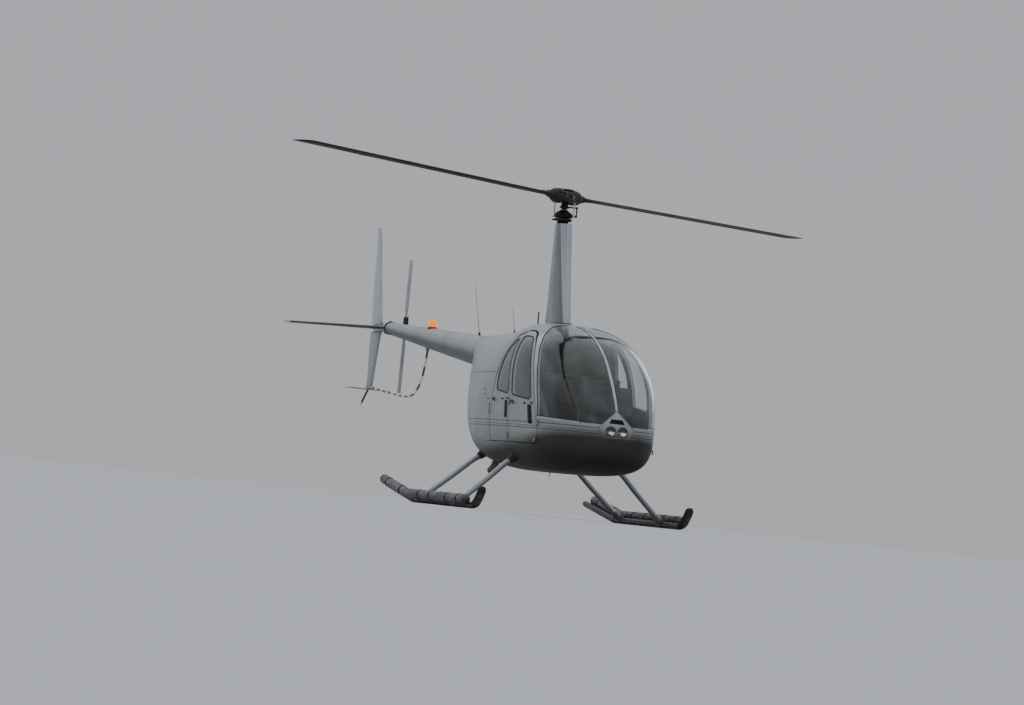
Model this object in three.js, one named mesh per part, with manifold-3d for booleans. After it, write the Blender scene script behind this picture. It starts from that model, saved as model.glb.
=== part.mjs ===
// A four-seat light helicopter on skids with stowed float bags.
// Millimetres, +X forward, +Y to port, +Z up, standing on its skids at z = 0.
import * as THREE from 'three';
import { mergeVertices } from 'three/addons/utils/BufferGeometryUtils.js';
import Module from 'manifold-3d';

const wasm = await Module();
wasm.setup();

// Driving dimensions
const mastX = 1515;               // the mast stands this far ahead of the middle of the whole machine
const wall = 30;                  // cabin wall and door thickness
const paneWall = 4;               // acrylic window thickness
const fit = 0.3;                  // gap between pieces that touch
const seam = 0.2;                 // half of the gap between fixed panels
const centrePost = 15;            // half width of the post between the windshields
const doorGap = 8;                // clearance round a door
const farAside = 900;             // past the widest point of the cabin

// Rotor
const rotorRadius = 5030;
const bladeChord = 254;
const bladeRoot = 430;
const bladeHeading = -47.4;       // degrees to port from the nose, for blade a
const hubZ = 3205;
const coning = 0.5;               // degrees
const shaftRadius = 26;

// Tail rotor
const tailRotor = { x: -5870, y: 250, z: 1905, radius: 737, chord: 125, root: 105 };

// Skids
const skidY = 1075;
const skidRadius = 32;
const floatRadius = 52;
const floatOut = 64;
const legRadius = 28;

// Colours and finishes
const finish = (color, roughness, metalness) => new THREE.MeshStandardMaterial({ color, roughness, metalness });
const silver = finish(0xa9abab, 0.3, 0.6);
const darkSilver = finish(0x8b8d8c, 0.35, 0.6);
const glass = new THREE.MeshStandardMaterial({
  color: 0xb9c0c4, roughness: 0.05, metalness: 0, transparent: true, opacity: 0.3,
});
const black = finish(0x17181a, 0.5, 0.2);
const chrome = finish(0xd8dadc, 0.1, 1);
const interior = finish(0x4a4c4e, 0.8, 0);
const leather = finish(0x2e2d2c, 0.6, 0);
const castMetal = finish(0x74767a, 0.5, 0.8);
const fabric = finish(0x77787c, 0.9, 0);
const redWhite = finish(0xb0302a, 0.4, 0);
const amber = finish(0xff6a1a, 0.3, 0);

const craft = new THREE.Group();
craft.position.x = mastX;

function toSolid(geometry) {
  const plain = new THREE.BufferGeometry();
  plain.setAttribute('position', geometry.getAttribute('position').clone());
  if (geometry.index) plain.setIndex(geometry.index.clone());
  const merged = mergeVertices(plain, 1e-3);
  const corners = merged.index.array;
  const kept = [];
  for (let i = 0; i < corners.length; i += 3) {
    const [a, b, c] = [corners[i], corners[i + 1], corners[i + 2]];
    if (a !== b && b !== c && a !== c) kept.push(a, b, c);
  }
  const vertProperties = new Float32Array(merged.getAttribute('position').array);
  return new wasm.Manifold(new wasm.Mesh({ numProp: 3, vertProperties, triVerts: new Uint32Array(kept) }));
}

function toGeometry(solid) {
  const mesh = solid.getMesh();
  const geometry = new THREE.BufferGeometry();
  geometry.setAttribute('position', new THREE.BufferAttribute(new Float32Array(mesh.vertProperties), 3));
  geometry.setIndex(new THREE.BufferAttribute(new Uint32Array(mesh.triVerts), 1));
  geometry.computeVertexNormals();
  return geometry;
}

function add(name, shape, material) {
  const geometry = shape.isBufferGeometry ? shape : toGeometry(shape);
  const mesh = new THREE.Mesh(geometry, material);
  mesh.name = name;
  craft.add(mesh);
  return mesh;
}

// Basic solids
function box([x0, x1], [y0, y1], [z0, z1]) {
  const geometry = new THREE.BoxGeometry(x1 - x0, y1 - y0, z1 - z0);
  geometry.translate((x0 + x1) / 2, (y0 + y1) / 2, (z0 + z1) / 2);
  return toSolid(geometry);
}

function cylinder(from, to, radiusFrom, radiusTo = radiusFrom, sides = 20) {
  const axis = new THREE.Vector3().subVectors(to, from);
  const geometry = new THREE.CylinderGeometry(radiusTo, radiusFrom, axis.length(), sides);
  geometry.translate(0, axis.length() / 2, 0);
  const turn = new THREE.Quaternion().setFromUnitVectors(new THREE.Vector3(0, 1, 0), axis.normalize());
  geometry.applyQuaternion(turn);
  geometry.translate(from.x, from.y, from.z);
  return toSolid(geometry);
}

const at = (x, y, z) => new THREE.Vector3(x, y, z);

// A prism across the machine from an outline of [x, z] corners
function sidePrism(outline, y0 = -farAside, y1 = farAside) {
  const shape = new THREE.Shape(outline.map(([x, z]) => new THREE.Vector2(x, z)));
  const geometry = new THREE.ExtrudeGeometry(shape, { depth: y1 - y0, bevelEnabled: false });
  geometry.rotateX(Math.PI / 2);
  geometry.translate(0, y1, 0);
  return toSolid(geometry);
}

// A prism along the machine from an outline of [y, z] corners
function frontPrism(outline, x0, x1) {
  const shape = new THREE.Shape(outline.map(([y, z]) => new THREE.Vector2(y, z)));
  const geometry = new THREE.ExtrudeGeometry(shape, { depth: x1 - x0, bevelEnabled: false });
  geometry.rotateX(Math.PI / 2);
  geometry.rotateZ(Math.PI / 2);
  geometry.translate(x0, 0, 0);
  return toSolid(geometry);
}

// A round tube along a smooth path
function tube(points, radius, steps, sides = 8) {
  const path = new THREE.CatmullRomCurve3(points, false, 'centripetal');
  const circle = new THREE.Shape();
  for (let k = 0; k < sides; k++) {
    const angle = (2 * Math.PI * (k + 0.5)) / sides;
    const corner = [radius * Math.cos(angle), radius * Math.sin(angle)];
    if (k === 0) circle.moveTo(...corner);
    else circle.lineTo(...corner);
  }
  return toSolid(new THREE.ExtrudeGeometry(circle, { steps, extrudePath: path, bevelEnabled: false }));
}

// A closed skin over rings of equal count, first ring to last ring
function loft(rings) {
  const count = rings[0].length;
  const positions = [];
  const index = [];
  for (const ring of rings) for (const p of ring) positions.push(p.x, p.y, p.z);
  for (let r = 0; r + 1 < rings.length; r++) {
    for (let k = 0; k < count; k++) {
      const a = r * count + k;
      const b = r * count + ((k + 1) % count);
      index.push(a, b, a + count, b, b + count, a + count);
    }
  }
  const last = (rings.length - 1) * count;
  for (let k = 1; k + 1 < count; k++) {
    index.push(0, k + 1, k);
    index.push(last, last + k, last + k + 1);
  }
  const geometry = new THREE.BufferGeometry();
  geometry.setAttribute('position', new THREE.Float32BufferAttribute(positions, 3));
  geometry.setIndex(index);
  const solid = toSolid(geometry);
  return solid.volume() > 0 ? solid : toSolid(flip(geometry));
}

function flip(geometry) {
  const corners = geometry.index.array;
  for (let i = 0; i < corners.length; i += 3) {
    [corners[i + 1], corners[i + 2]] = [corners[i + 2], corners[i + 1]];
  }
  return geometry;
}

// Moves every corner of a closed outline inward by a distance
function inset(outline, distance) {
  const area = THREE.ShapeUtils.area(outline.map(([x, y]) => new THREE.Vector2(x, y)));
  const side = area > 0 ? 1 : -1;
  return outline.map((corner, k) => {
    const before = outline[(k + outline.length - 1) % outline.length];
    const after = outline[(k + 1) % outline.length];
    const u = new THREE.Vector2(corner[0] - before[0], corner[1] - before[1]).normalize();
    const v = new THREE.Vector2(after[0] - corner[0], after[1] - corner[1]).normalize();
    const bisector = new THREE.Vector2(-u.y - v.y, u.x + v.x).multiplyScalar(side);
    const scale = distance / (1 + u.dot(v));
    return [corner[0] + bisector.x * scale, corner[1] + bisector.y * scale];
  });
}

// The body's sections, nose to tail: half width, lowest, widest and highest heights at x
const sections = [
  // x, halfWidth, zBottom, zBelt, zTop, fullness of the upper half
  [2320, 0, 840, 840, 840, 2.4],
  [2305, 150, 690, 845, 960, 2.4],
  [2250, 290, 590, 855, 1090, 2.5],
  [2130, 415, 520, 880, 1240, 2.7],
  [1950, 512, 480, 925, 1425, 2.8],
  [1700, 580, 455, 985, 1620, 3],
  [1350, 630, 440, 1030, 1785, 3.1],
  [950, 648, 435, 1045, 1880, 3.1],
  [500, 645, 435, 1040, 1920, 2.9],
  [50, 632, 440, 1015, 1915, 2.4],
  [-400, 600, 485, 1010, 1880, 2],
  [-800, 530, 590, 1080, 1850, 1.9],
  [-1150, 440, 770, 1200, 1828, 1.9],
  [-1450, 345, 1000, 1350, 1812, 1.9],
  [-1700, 255, 1230, 1500, 1800, 2],
  [-1905, 188, 1422, 1610, 1794, 2],
];
const lowerPower = 3.4;
const through = (a, b, c) =>
  new THREE.CatmullRomCurve3(sections.map((s) => at(s[a], s[b], s[c])), false, 'catmullrom', 0.5);
const across = through(0, 1, 3);
const heights = through(5, 2, 4);

function skinPoint(t, turn) {
  const [x, halfWidth, belt] = across.getPoint(t).toArray();
  const [fullness, bottom, top] = heights.getPoint(t).toArray();
  const power = Math.sin(turn) >= 0 ? fullness : lowerPower;
  const reach = Math.sin(turn) >= 0 ? top - belt : belt - bottom;
  const curve = (value) => Math.sign(value) * Math.abs(value) ** (2 / power);
  return at(x, halfWidth * curve(Math.cos(turn)), belt + reach * curve(Math.sin(turn)));
}

// Half width of the skin at a place along and a height
function skinY(x, z) {
  let [near, far] = [0, 1];
  for (let k = 0; k < 40; k++) {
    const middle = (near + far) / 2;
    if (across.getPoint(middle).x > x) near = middle;
    else far = middle;
  }
  const [, halfWidth, belt] = across.getPoint(near).toArray();
  const [fullness, bottom, top] = heights.getPoint(near).toArray();
  const share = z > belt ? (z - belt) / (top - belt) : (belt - z) / (belt - bottom);
  const power = z > belt ? fullness : lowerPower;
  return halfWidth * (1 - share ** power) ** (1 / power);
}

// The same body with its skin moved inward by a depth
function hull(depth, rows = 22, columns = 24) {
  const step = 1e-3;
  const rings = [];
  for (let r = 0; r <= rows; r++) {
    const t = Math.min(Math.max(r / rows, 0.004), 1);
    const ring = [];
    for (let k = 0; k < columns; k++) {
      const turn = (2 * Math.PI * (k + 0.5)) / columns;
      const point = skinPoint(t, turn);
      const along = skinPoint(Math.min(t + step, 1), turn).sub(skinPoint(Math.max(t - step, 0), turn));
      const round = skinPoint(t, turn + step).sub(skinPoint(t, turn - step));
      const normal = new THREE.Vector3().crossVectors(round, along).normalize();
      point.addScaledVector(normal, depth);
      if (r === rows) point.x = sections.at(-1)[0] + depth;
      ring.push(point);
    }
    rings.push(ring);
  }
  return loft(rings);
}

const outerHull = hull(0);
const innerHull = hull(wall);
const shell = outerHull.subtract(innerHull);
const paneShell = hull(0.5).subtract(hull(0.5 + paneWall));

// Seams of the cabin as [x, z] points seen from the side
const beltPoint = [1620, 964];
const pillarFront = [[1600, 1100], [1510, 1330], [1385, 1530], [1210, 1700], [1040, 1810]];
const roofFront = [[900, 1868], [740, 1935], [700, 2100]];
const doorFront = [[1645, 765], [1650, 830], [1590, 970], [1545, 1120], [1450, 1320], [1325, 1510], [1160, 1668],
  [1000, 1765]];
const sillZ = 690;
const noseBase = [1575, sillZ];
const doorCorner = [1625, 715];

// The post between the doors: upright to the window sills, then leaning back to the roof
const postFront = 908;
const postRear = 868;
const postBend = 1120;
const postLean = 0.36;
const onPost = (edge, z) => [edge - postLean * Math.max(z - postBend, 0), z];
const doorRear = [[600, 1815], [470, 1760], [370, 1600], [300, 1380], [270, 1200]];
const cowlSeamZ = 1380;
const aftCut = -2300;
const low = 300;
const high = 2200;

// The doors' own edges keep further off at the top, where they swing past the roof
const frontDoorOutline = [[postFront, sillZ], noseBase, doorCorner, ...doorFront.slice(0, -1), [994, 1755],
  [928, 1789], [825, 1811], [755, 1812], onPost(postFront, 1805), [postFront, postBend]];
const rearDoorOutline = [[276, sillZ], [postRear, sillZ], [postRear, postBend], onPost(postRear, 1798), [484, 1744],
  [388, 1592], [322, 1374], [276, 1200]];
const postOutline = [[postRear, sillZ], [postFront, sillZ], [postFront, postBend], onPost(postFront, 1820),
  onPost(postRear, 1816), [postRear, postBend]];
const pillarOutline = [beltPoint, ...pillarFront, [1000, 1765], ...doorFront.slice(2, -1).reverse()];
const windshieldOutline = [beltPoint, ...pillarFront, ...roofFront, [2600, 2100], [2600, 935], [2200, 940]];
const noseOutline = [noseBase, [1570, low], [2600, low], [2600, 935], [2200, 940], beltPoint,
  ...doorFront.slice(0, 3).reverse(), doorCorner];
const bellyOutline = [[-60, low], [1570, low], noseBase, [270, sillZ], [-60, sillZ]];
const roofOutline = [[1000, 1765], [1040, 1810], ...roofFront, [470, 2100], [470, 1760], [600, 1814.6],
  onPost(postRear, 1816), onPost(postFront, 1820), [755, 1828], [815, 1823], [930, 1800]];
const cowlOutline = [[-60, low], [-60, sillZ], [270, sillZ], [270, 1200], [300, cowlSeamZ], [aftCut, cowlSeamZ],
  [aftCut, low]];
const upperOutline = [[300, cowlSeamZ], [370, 1600], [470, 1760], [470, high], [aftCut, high],
  [aftCut, cowlSeamZ]];

// Lamp housing in the nose as [y, z] seen from the front
const lampHousing = [[0, 1085], [-190, 905], [-128, 812], [128, 812], [190, 905]];
const lampSpread = 60;
const lampZ = 880;
const lampRadius = 50;
const intake = [[-84, 952], [84, 952], [56, 998], [-56, 998]];

const sides = { right: [-farAside, 0], left: [0, farAside] };

// Landing gear legs, front and rear, as they pass through the belly
const gearBars = {
  front: { x: 846, topY: 556, topZ: 524, barZ: 575 },
  rear: { x: -410, topY: 473, topZ: 547, barZ: 575 },
};

function gearPath({ x, topY, topZ, barZ }, footY, footZ) {
  const slope = (topZ - footZ) / (topY - footY);
  const kneeY = topY + (barZ - topZ) / slope;
  const half = [at(x, footY, footZ), at(x, (footY + kneeY) / 2, (footZ + barZ) / 2),
    at(x, kneeY + 60, barZ + 60 * slope), at(x, kneeY - 70, barZ), at(x, 120, barZ)];
  const mirrored = half.map((p) => at(p.x, -p.y, p.z)).reverse();
  return [...half, ...mirrored];
}

const legTube = (radius) => Object.values(gearBars).map((bar) => tube(gearPath(bar, skidY, 40), radius, 22));
const bars = legTube(legRadius);

// Exhaust, out through the floor of the engine bay
const engineFloorZ = 640;
const exhaustRadius = 38;
const exhaustLine = [[-560, engineFloorZ - fit], [-562, 570], [-610, 470], [-740, 400]];
const exhaust = (radius) => tube(exhaustLine.map(([x, z]) => at(x, -250, z)), radius, 8, 12);
const barHoles = legTube(legRadius + 1);

// Door hinges: a pin on brackets from the fixed skin, and a knuckle on arms from the door
const pinRadius = 3.5;
const knuckle = { radius: 8, bore: 4.2, half: 15 };
const bracketUp = 20;             // brackets sit this far above and below a knuckle's middle
const armRadius = 4;

function hingeAt({ x, y, lean }, sign, z) {
  return at(x, sign * (y + lean * (z - 1000)), z);
}

function hingeBrackets(hinge, sign) {
  let solid = null;
  for (const z of hinge.heights) {
    const pin = cylinder(hingeAt(hinge, sign, z - 22), hingeAt(hinge, sign, z + 22), pinRadius, pinRadius, 6);
    solid = solid ? solid.add(pin) : pin;
    for (const up of [-bracketUp, bracketUp]) {
      const inside = at(hinge.x + 4, sign * (skinY(hinge.x, z + up) - 15), z + up);
      solid = solid.add(cylinder(hingeAt(hinge, sign, z + up), inside, armRadius, armRadius + 1, 6));
    }
  }
  return solid;
}

function hingeKnuckles(hinge, sign) {
  let solid = null;
  for (const [k, z] of hinge.heights.entries()) {
    const edge = hinge.edges[k] - 24;
    const [low, high] = [z - knuckle.half, z + knuckle.half].map((up) => hingeAt(hinge, sign, up));
    const bend = at(edge, sign * (skinY(edge, z) + 4), z);
    const part = cylinder(low, high, knuckle.radius, knuckle.radius, 8)
      .add(cylinder(hingeAt(hinge, sign, z), bend, armRadius, armRadius, 6))
      .add(cylinder(bend, at(edge - 4, sign * (skinY(edge, z) - 15), z), armRadius + 2, armRadius + 2, 6))
      .subtract(cylinder(hingeAt(hinge, sign, z - 30), hingeAt(hinge, sign, z + 30), knuckle.bore, knuckle.bore, 8));
    solid = solid ? solid.add(part) : part;
  }
  return solid;
}

// Windows cut in the doors, the small vent in each door's lower panel, and the hinges' line:
// how far the line stands outboard at 1 m up, its lean outward for each mm of height, and the
// door's edge at each hinge
const doors = {
  front: {
    hinge: { x: 1662, y: 600, lean: -0.06, heights: [730, 900], edges: [1632, 1610] },
    outline: frontDoorOutline,
    window: [[928, 1163], [1408, 1124], [1440, 1152], [1372, 1312], [1288, 1455], [1170, 1588], [1022, 1705],
      [930, 1745], [745, 1752], [716, 1740]],
    vent: [[1440, 892], [1524, 884], [1468, 1061], [1384, 1069]],
  },
  rear: {
    hinge: { x: 888, y: 655, lean: 0.03, heights: [760, 1085], edges: [860, 860] },
    outline: rearDoorOutline,
    window: [[432, 1204], [814, 1172], [622, 1704], [596, 1724], [552, 1716], [486, 1645], [430, 1538], [396, 1400],
      [394, 1250]],
    vent: [[756, 938], [838, 931], [806, 1094], [724, 1101]],
  },
};

for (const [side, [y0, y1]] of Object.entries(sides)) {
  const sign = side === 'right' ? -1 : 1;
  const half = shell.intersect(box([-2500, 2500], side === 'right' ? [y0, -seam] : [seam, y1], [0, 2500]));
  const paneHalf = paneShell.intersect(box([-2500, 2500], side === 'right' ? [y0, -centrePost] : [centrePost, y1], [0, 2500]));
  for (const [place, door] of Object.entries(doors)) {
    const panel = half.intersect(sidePrism(inset(door.outline, doorGap)))
      .subtract(sidePrism(door.window)).subtract(sidePrism(door.vent)).add(hingeKnuckles(door.hinge, sign));
    add(`door_${place}_${side}`, panel, silver);
    const pane = paneHalf.intersect(sidePrism(inset(door.window, fit)));
    add(`window_${place}_${side}`, pane, glass);
  }
  add(`pillar_front_${side}`, half.intersect(sidePrism(inset(pillarOutline, seam))), silver);
  add(`pillar_middle_${side}`, half.intersect(sidePrism(inset(postOutline, seam)))
    .add(hingeBrackets(doors.rear.hinge, sign)), darkSilver);
  let cowl = half.intersect(sidePrism(inset(cowlOutline, seam))).subtract(exhaust(exhaustRadius + 8));
  for (const hole of barHoles) cowl = cowl.subtract(hole);
  add(`cowling_${side}`, cowl, silver);
  const housing = frontPrism(inset(lampHousing, -fit), 1900, 2600);
  const screen = paneHalf.intersect(sidePrism(inset(windshieldOutline, 2 * seam))).subtract(housing);
  add(`windshield_${side}`, screen, glass);
}

// Panels that cross the middle
const housingCut = frontPrism(inset(lampHousing, -fit), 1900, 2600);
add('nose_shell', shell.intersect(sidePrism(inset(noseOutline, seam))).subtract(housingCut)
  .add(hingeBrackets(doors.front.hinge, -1)).add(hingeBrackets(doors.front.hinge, 1)), silver);
let belly = shell.intersect(sidePrism(inset(bellyOutline, seam)));
for (const hole of barHoles) belly = belly.subtract(hole);
add('belly_panel', belly, darkSilver);
add('roof_panel', shell.intersect(sidePrism(inset(roofOutline, seam))), silver);
const shaftHole = cylinder(at(0, 0, 1800), at(0, 0, 2100), shaftRadius + 20);
add('upper_cowling', shell.intersect(sidePrism(inset(upperOutline, seam))).subtract(shaftHole), silver);
const postBand = box([0, 2600], [fit - centrePost, centrePost - fit], [0, 2500]);
add('windshield_post', shell.intersect(sidePrism(inset(windshieldOutline, 2 * seam))).intersect(postBand)
  .subtract(housingCut), silver);

// Nose lamps
const lampBores = [-lampSpread, lampSpread].map((y) => cylinder(at(2100, y, lampZ), at(2600, y, lampZ), lampRadius));
let housing = shell.intersect(frontPrism(lampHousing, 1900, 2600));
for (const bore of lampBores) housing = housing.subtract(bore);
housing = housing.subtract(frontPrism(intake, 1900, 2600));
add('lamp_housing', housing, silver);
let lamps = box([2222, 2240], [-lampSpread, lampSpread], [lampZ - 12, lampZ + 12]);
for (const y of [-lampSpread, lampSpread]) {
  lamps = lamps.add(cylinder(at(2215, y, lampZ), at(2300, y, lampZ), lampRadius - 14, lampRadius - fit));
}
add('landing_lamps', lamps, chrome);

// Cabin floor with its seat boxes and the firewall, trimmed to the inside of the walls
const cabinInside = hull(wall + fit);
const floorZ = [612, 636];
const firewallX = [168, 192];
const firewall = box(firewallX, [-800, 800], [floorZ[0], 1900]);
const floorPlate = box([firewallX[0], 1990], [-800, 800], floorZ);
const seatBoxes = [
  // x, y, z
  [[820, 1270], [-540, -95], [floorZ[0], 850]],
  [[820, 1270], [95, 540], [floorZ[0], 850]],
  [[firewallX[0], 690], [-540, 540], [floorZ[0], 830]],
];
let tub = floorPlate.add(firewall);
for (const seatBox of seatBoxes) tub = tub.add(box(...seatBox));
add('cabin_floor', tub.intersect(cabinInside), interior);

// Seats: a cushion and a back in one, seen from the side as [x, z]
const frontSeat = [[830, 850.3], [1285, 850.3], [1290, 930], [915, 915], [850, 1440], [775, 1440], [800, 900]];
const rearSeat = [[192.3, 830.3], [690, 830.3], [695, 915], [330, 905], [268, 1420], [192.3, 1430]];
const seatSpace = hull(wall + 15);
add('seat_front_right', sidePrism(frontSeat, -540, -105).intersect(seatSpace), leather);
add('seat_front_left', sidePrism(frontSeat, 105, 540).intersect(seatSpace), leather);
add('seat_rear', sidePrism(rearSeat, -530, 530).intersect(seatSpace), leather);

// Instrument console on the floor ahead of the seats, and the stick between the seats
const pedestal = [[1700, floorZ[1] + fit], [1960, floorZ[1] + fit], [1975, 900], [1955, 1060], [1690, 1060],
  [1660, 800]];
const panel = [[1690, 1050], [1955, 1050], [1928, 1250], [1860, 1320], [1770, 1315]];
add('instrument_console', sidePrism(pedestal, -190, 190).add(sidePrism(panel, -250, 250)), black);
const stick = tube([at(1180, 0, floorZ[1] - 20), at(1290, 0, 900), at(1400, 0, 1120)], 16, 8);
const stickBar = box([1385, 1415], [-330, 330], [1105, 1135]);
const grips = [-330, 330].map((y) => box([1382, 1418], [y - 18, y + 18], [985, 1136]));
const belowFloor = box([1100, 1300], [-100, 100], [500, floorZ[1] + fit]);
add('flight_controls', stick.add(stickBar).add(grips[0]).add(grips[1]).subtract(belowFloor), black);

// Engine and gearbox behind the firewall
const engineBox = box([-690, firewallX[0] - fit], [-365, 365], [engineFloorZ, 1060]);
add('engine', engineBox, castMetal);
const gearbox = box([-150, firewallX[0] - fit], [-130, 130], [1340, 1690]);
add('main_gearbox', gearbox, castMetal);
const aboveExhaust = box([-700, -400], [-400, -100], [engineFloorZ - fit, 700]);
add('exhaust_pipe', exhaust(exhaustRadius).subtract(aboveExhaust), black);

// Mast fairing, hollow round the shaft, from foil outlines at its foot and its top
function foil(chord, thickness, count = 10) {
  const half = [];
  for (let k = 0; k <= count; k++) {
    const s = (1 - Math.cos((Math.PI * k) / count)) / 2;
    const y = thickness * 5 * (0.2969 * Math.sqrt(s) - 0.126 * s - 0.3516 * s ** 2 + 0.2843 * s ** 3 - 0.1036 * s ** 4);
    half.push([s * chord, y]);
  }
  const lower = half.slice(1, -1).reverse().map(([x, y]) => [x, -y]);
  return [...half, ...lower];
}

const fairingFoot = { z: 1820, nose: 530, chord: 760, thickness: 150 };
const fairingTop = { z: 2930, nose: 210, chord: 445, thickness: 132 };
function fairingRing({ z, nose, chord, thickness }, trim) {
  return foil(chord - 3 * trim, thickness - 2 * trim).map(([s, y]) => at(nose - trim - s, y, z));
}
const fairingOuter = loft([fairingRing(fairingFoot, 0), fairingRing(fairingTop, 0)]);
const fairingInner = loft([
  fairingRing({ ...fairingFoot, z: fairingFoot.z - 10 }, 8),
  fairingRing({ ...fairingTop, z: fairingTop.z + 10 }, 8),
]);
add('mast_fairing', fairingOuter.subtract(fairingInner).subtract(hull(-fit)), silver);

// Rotor shaft, swashplate, hub and blades
const swashZ = fairingTop.z + fit;
const shaftBore = cylinder(at(0, 0, swashZ - 50), at(0, 0, swashZ + 200), shaftRadius + fit, shaftRadius + fit, 24);
const swashPlate = cylinder(at(0, 0, swashZ), at(0, 0, swashZ + 80), 66, 46, 24)
  .add(cylinder(at(0, 0, swashZ + 78), at(0, 0, swashZ + 142), 95, 88, 24));
add('swashplate', swashPlate.subtract(shaftBore), black);

// The teeter bolt at the shaft's top carries the hub
const heading = THREE.MathUtils.degToRad(bladeHeading);
const turned = (solid, angle) => solid.rotate([0, 0, THREE.MathUtils.radToDeg(angle)]);
const boltRadius = 13;
const bolt = (radius, reach) => cylinder(at(0, -reach, hubZ), at(0, reach, hubZ), radius, radius, 16);
const shaft = cylinder(at(0, 0, 1690 + fit), at(0, 0, hubZ + 18), shaftRadius, shaftRadius, 24);
add('rotor_shaft', turned(shaft.add(bolt(boltRadius, 92)), heading), chrome);
const hubBlock = box([-170, 170], [-48, 48], [hubZ - 46, hubZ + 46])
  .add(bolt(30, 88))
  .add(cylinder(at(0, 0, hubZ + 36), at(0, 0, 3280), 78, 66, 16))
  .subtract(box([-40, 40], [-shaftRadius - 1.3, shaftRadius + 1.3], [hubZ - 50, hubZ + 25]))
  .subtract(bolt(boltRadius + fit, 100));
add('rotor_hub', turned(hubBlock, heading), black);

const climb = Math.tan(THREE.MathUtils.degToRad(coning));
function bladeRing(span, chord, thickness, lead) {
  const z = hubZ + span * climb;
  return foil(chord, thickness, 8).map(([s, up]) => at(span, lead - s, z + up));
}
// Span, chord, thickness and leading edge ahead of the blade's own line
const bladeStations = [
  [170 + fit, 96, 62, 48],
  [300, 100, 58, 50],
  [bladeRoot, 200, 36, 64],
  [560, bladeChord, 30, 68],
  [rotorRadius - 60, bladeChord, 30, 68],
  [rotorRadius, 205, 14, 44],
];
const blade = loft(bladeStations.map((station) => bladeRing(...station)));
add('main_blade_a', turned(blade, heading), black);
add('main_blade_b', turned(blade, heading + Math.PI), black);

// Tail cone from the body's end to the fins, a straight taper of thin sheet closed by a bulkhead at its rear
const coneWall = 4;
const bulkhead = 10;
const coneFront = { x: -1905 - fit, z: 1610, radius: 172 };
const coneRear = { x: -5600, z: 1860, radius: 66 };
const coneRing = ({ x, z, radius }) => Array.from({ length: 28 }, (_, k) => {
  const angle = (2 * Math.PI * k) / 28;
  return at(x, radius * Math.cos(angle), z + radius * Math.sin(angle));
});
const cone = loft([coneRing(coneFront), coneRing(coneRear)]);
const coneHollow = loft([
  coneRing({ ...coneFront, x: coneFront.x + 1, radius: coneFront.radius - coneWall }),
  coneRing({ ...coneRear, x: coneRear.x + bulkhead, radius: coneRear.radius - coneWall }),
]);
add('tail_cone', cone.subtract(coneHollow), silver);

// Tail: an arm block that carries fins, plane and gearbox behind the cone
const tailBlock = box([-6180, coneRear.x - fit], [-26, 26], [1820, 1900]);
add('tail_carrier', tailBlock, darkSilver);

function finRing(leadX, z, chord, thickness) {
  return foil(chord, thickness, 8).map(([s, y]) => at(leadX - s, y, z));
}
add('fin_upper', loft([finRing(-5920, 1900 + fit, 385, 42), finRing(-6305, 2980, 158, 18)]), silver);
add('fin_lower', loft([finRing(-6075, 1190, 220, 30), finRing(-5935, 1820 - fit, 375, 42)]), silver);

function planeRing(leadX, y, chord, thickness) {
  return foil(chord, thickness, 8).map(([s, up]) => at(leadX - s, y, 1862 + up + (y + 26) * 0.04));
}
add('horizontal_stabilizer', loft([planeRing(-5650, -26 - fit, 330, 38), planeRing(-5765, -1090, 255, 26)]), black);

// Foot plate and tail skid under the lower fin
const plateZ = [1178, 1190 - fit];
add('tail_plate', box([-6330, -6090], [-225, 225], plateZ), darkSilver);
const overPlate = box([-6330, -6090], [-225, 225], [plateZ[0] - fit, 1300]);
const stinger = tube([at(-6205, 0, plateZ[0] + 10), at(-6300, 0, 1110), at(-6440, 0, 1000)], 11, 5);
add('tail_skid', stinger.subtract(overPlate), black);

// Guard rod from the cone down and back to the fin
const guardPoints = [[-4130, 1700], [-4150, 1560], [-4230, 1340], [-4400, 1185], [-4620, 1130], [-5300, 1150],
  [-6060, 1205]];
const finFoot = loft([finRing(-6075 + fit, 1190, 220, 31), finRing(-5935 + fit, 1820, 375, 43)]);
const guard = tube(guardPoints.map(([x, z]) => at(x, 0, z)).concat([at(-6110, 0, 1209)]), 12, 20)
  .subtract(hullOfCone(fit)).subtract(finFoot);
add('tail_rotor_guard', guard, redWhite);

function hullOfCone(extra) {
  return loft([
    coneRing({ ...coneFront, radius: coneFront.radius + extra }),
    coneRing({ ...coneRear, radius: coneRear.radius + extra }),
  ]);
}

// Tail gearbox and rotor
const { x: tailX, y: tailY, z: tailZ } = tailRotor;
const tailGear = cylinder(at(tailX, 26 + fit, tailZ - 45), at(tailX, 120, tailZ - 45), 60, 48, 20)
  .add(cylinder(at(tailX, 60, tailZ), at(tailX, 165, tailZ), 36, 30, 20));
add('tail_gearbox', tailGear, castMetal);
const tailHub = cylinder(at(tailX, 165 + fit, tailZ), at(tailX, 282, tailZ), 24, 24, 16)
  .add(box([tailX - 34, tailX + 34], [tailY - 20, tailY + 20], [tailZ - tailRotor.root, tailZ + tailRotor.root]));
add('tail_rotor_hub', tailHub, black);
const tailBladeRing = (span, chord, thickness) =>
  foil(chord, thickness, 7).map(([s, up]) => at(tailX + chord * 0.35 - s, tailY + up, tailZ + span));
const tailBlade = loft([
  tailBladeRing(tailRotor.root + fit, 70, 22),
  tailBladeRing(190, tailRotor.chord, 15),
  tailBladeRing(tailRotor.radius, tailRotor.chord, 13),
]);
add('tail_blade_a', tailBlade, darkSilver);
const flipped = tailBlade.translate([-tailX, -tailY, -tailZ]).rotate([0, 180, 0]).translate([tailX, tailY, tailZ]);
add('tail_blade_b', flipped, darkSilver);

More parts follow.
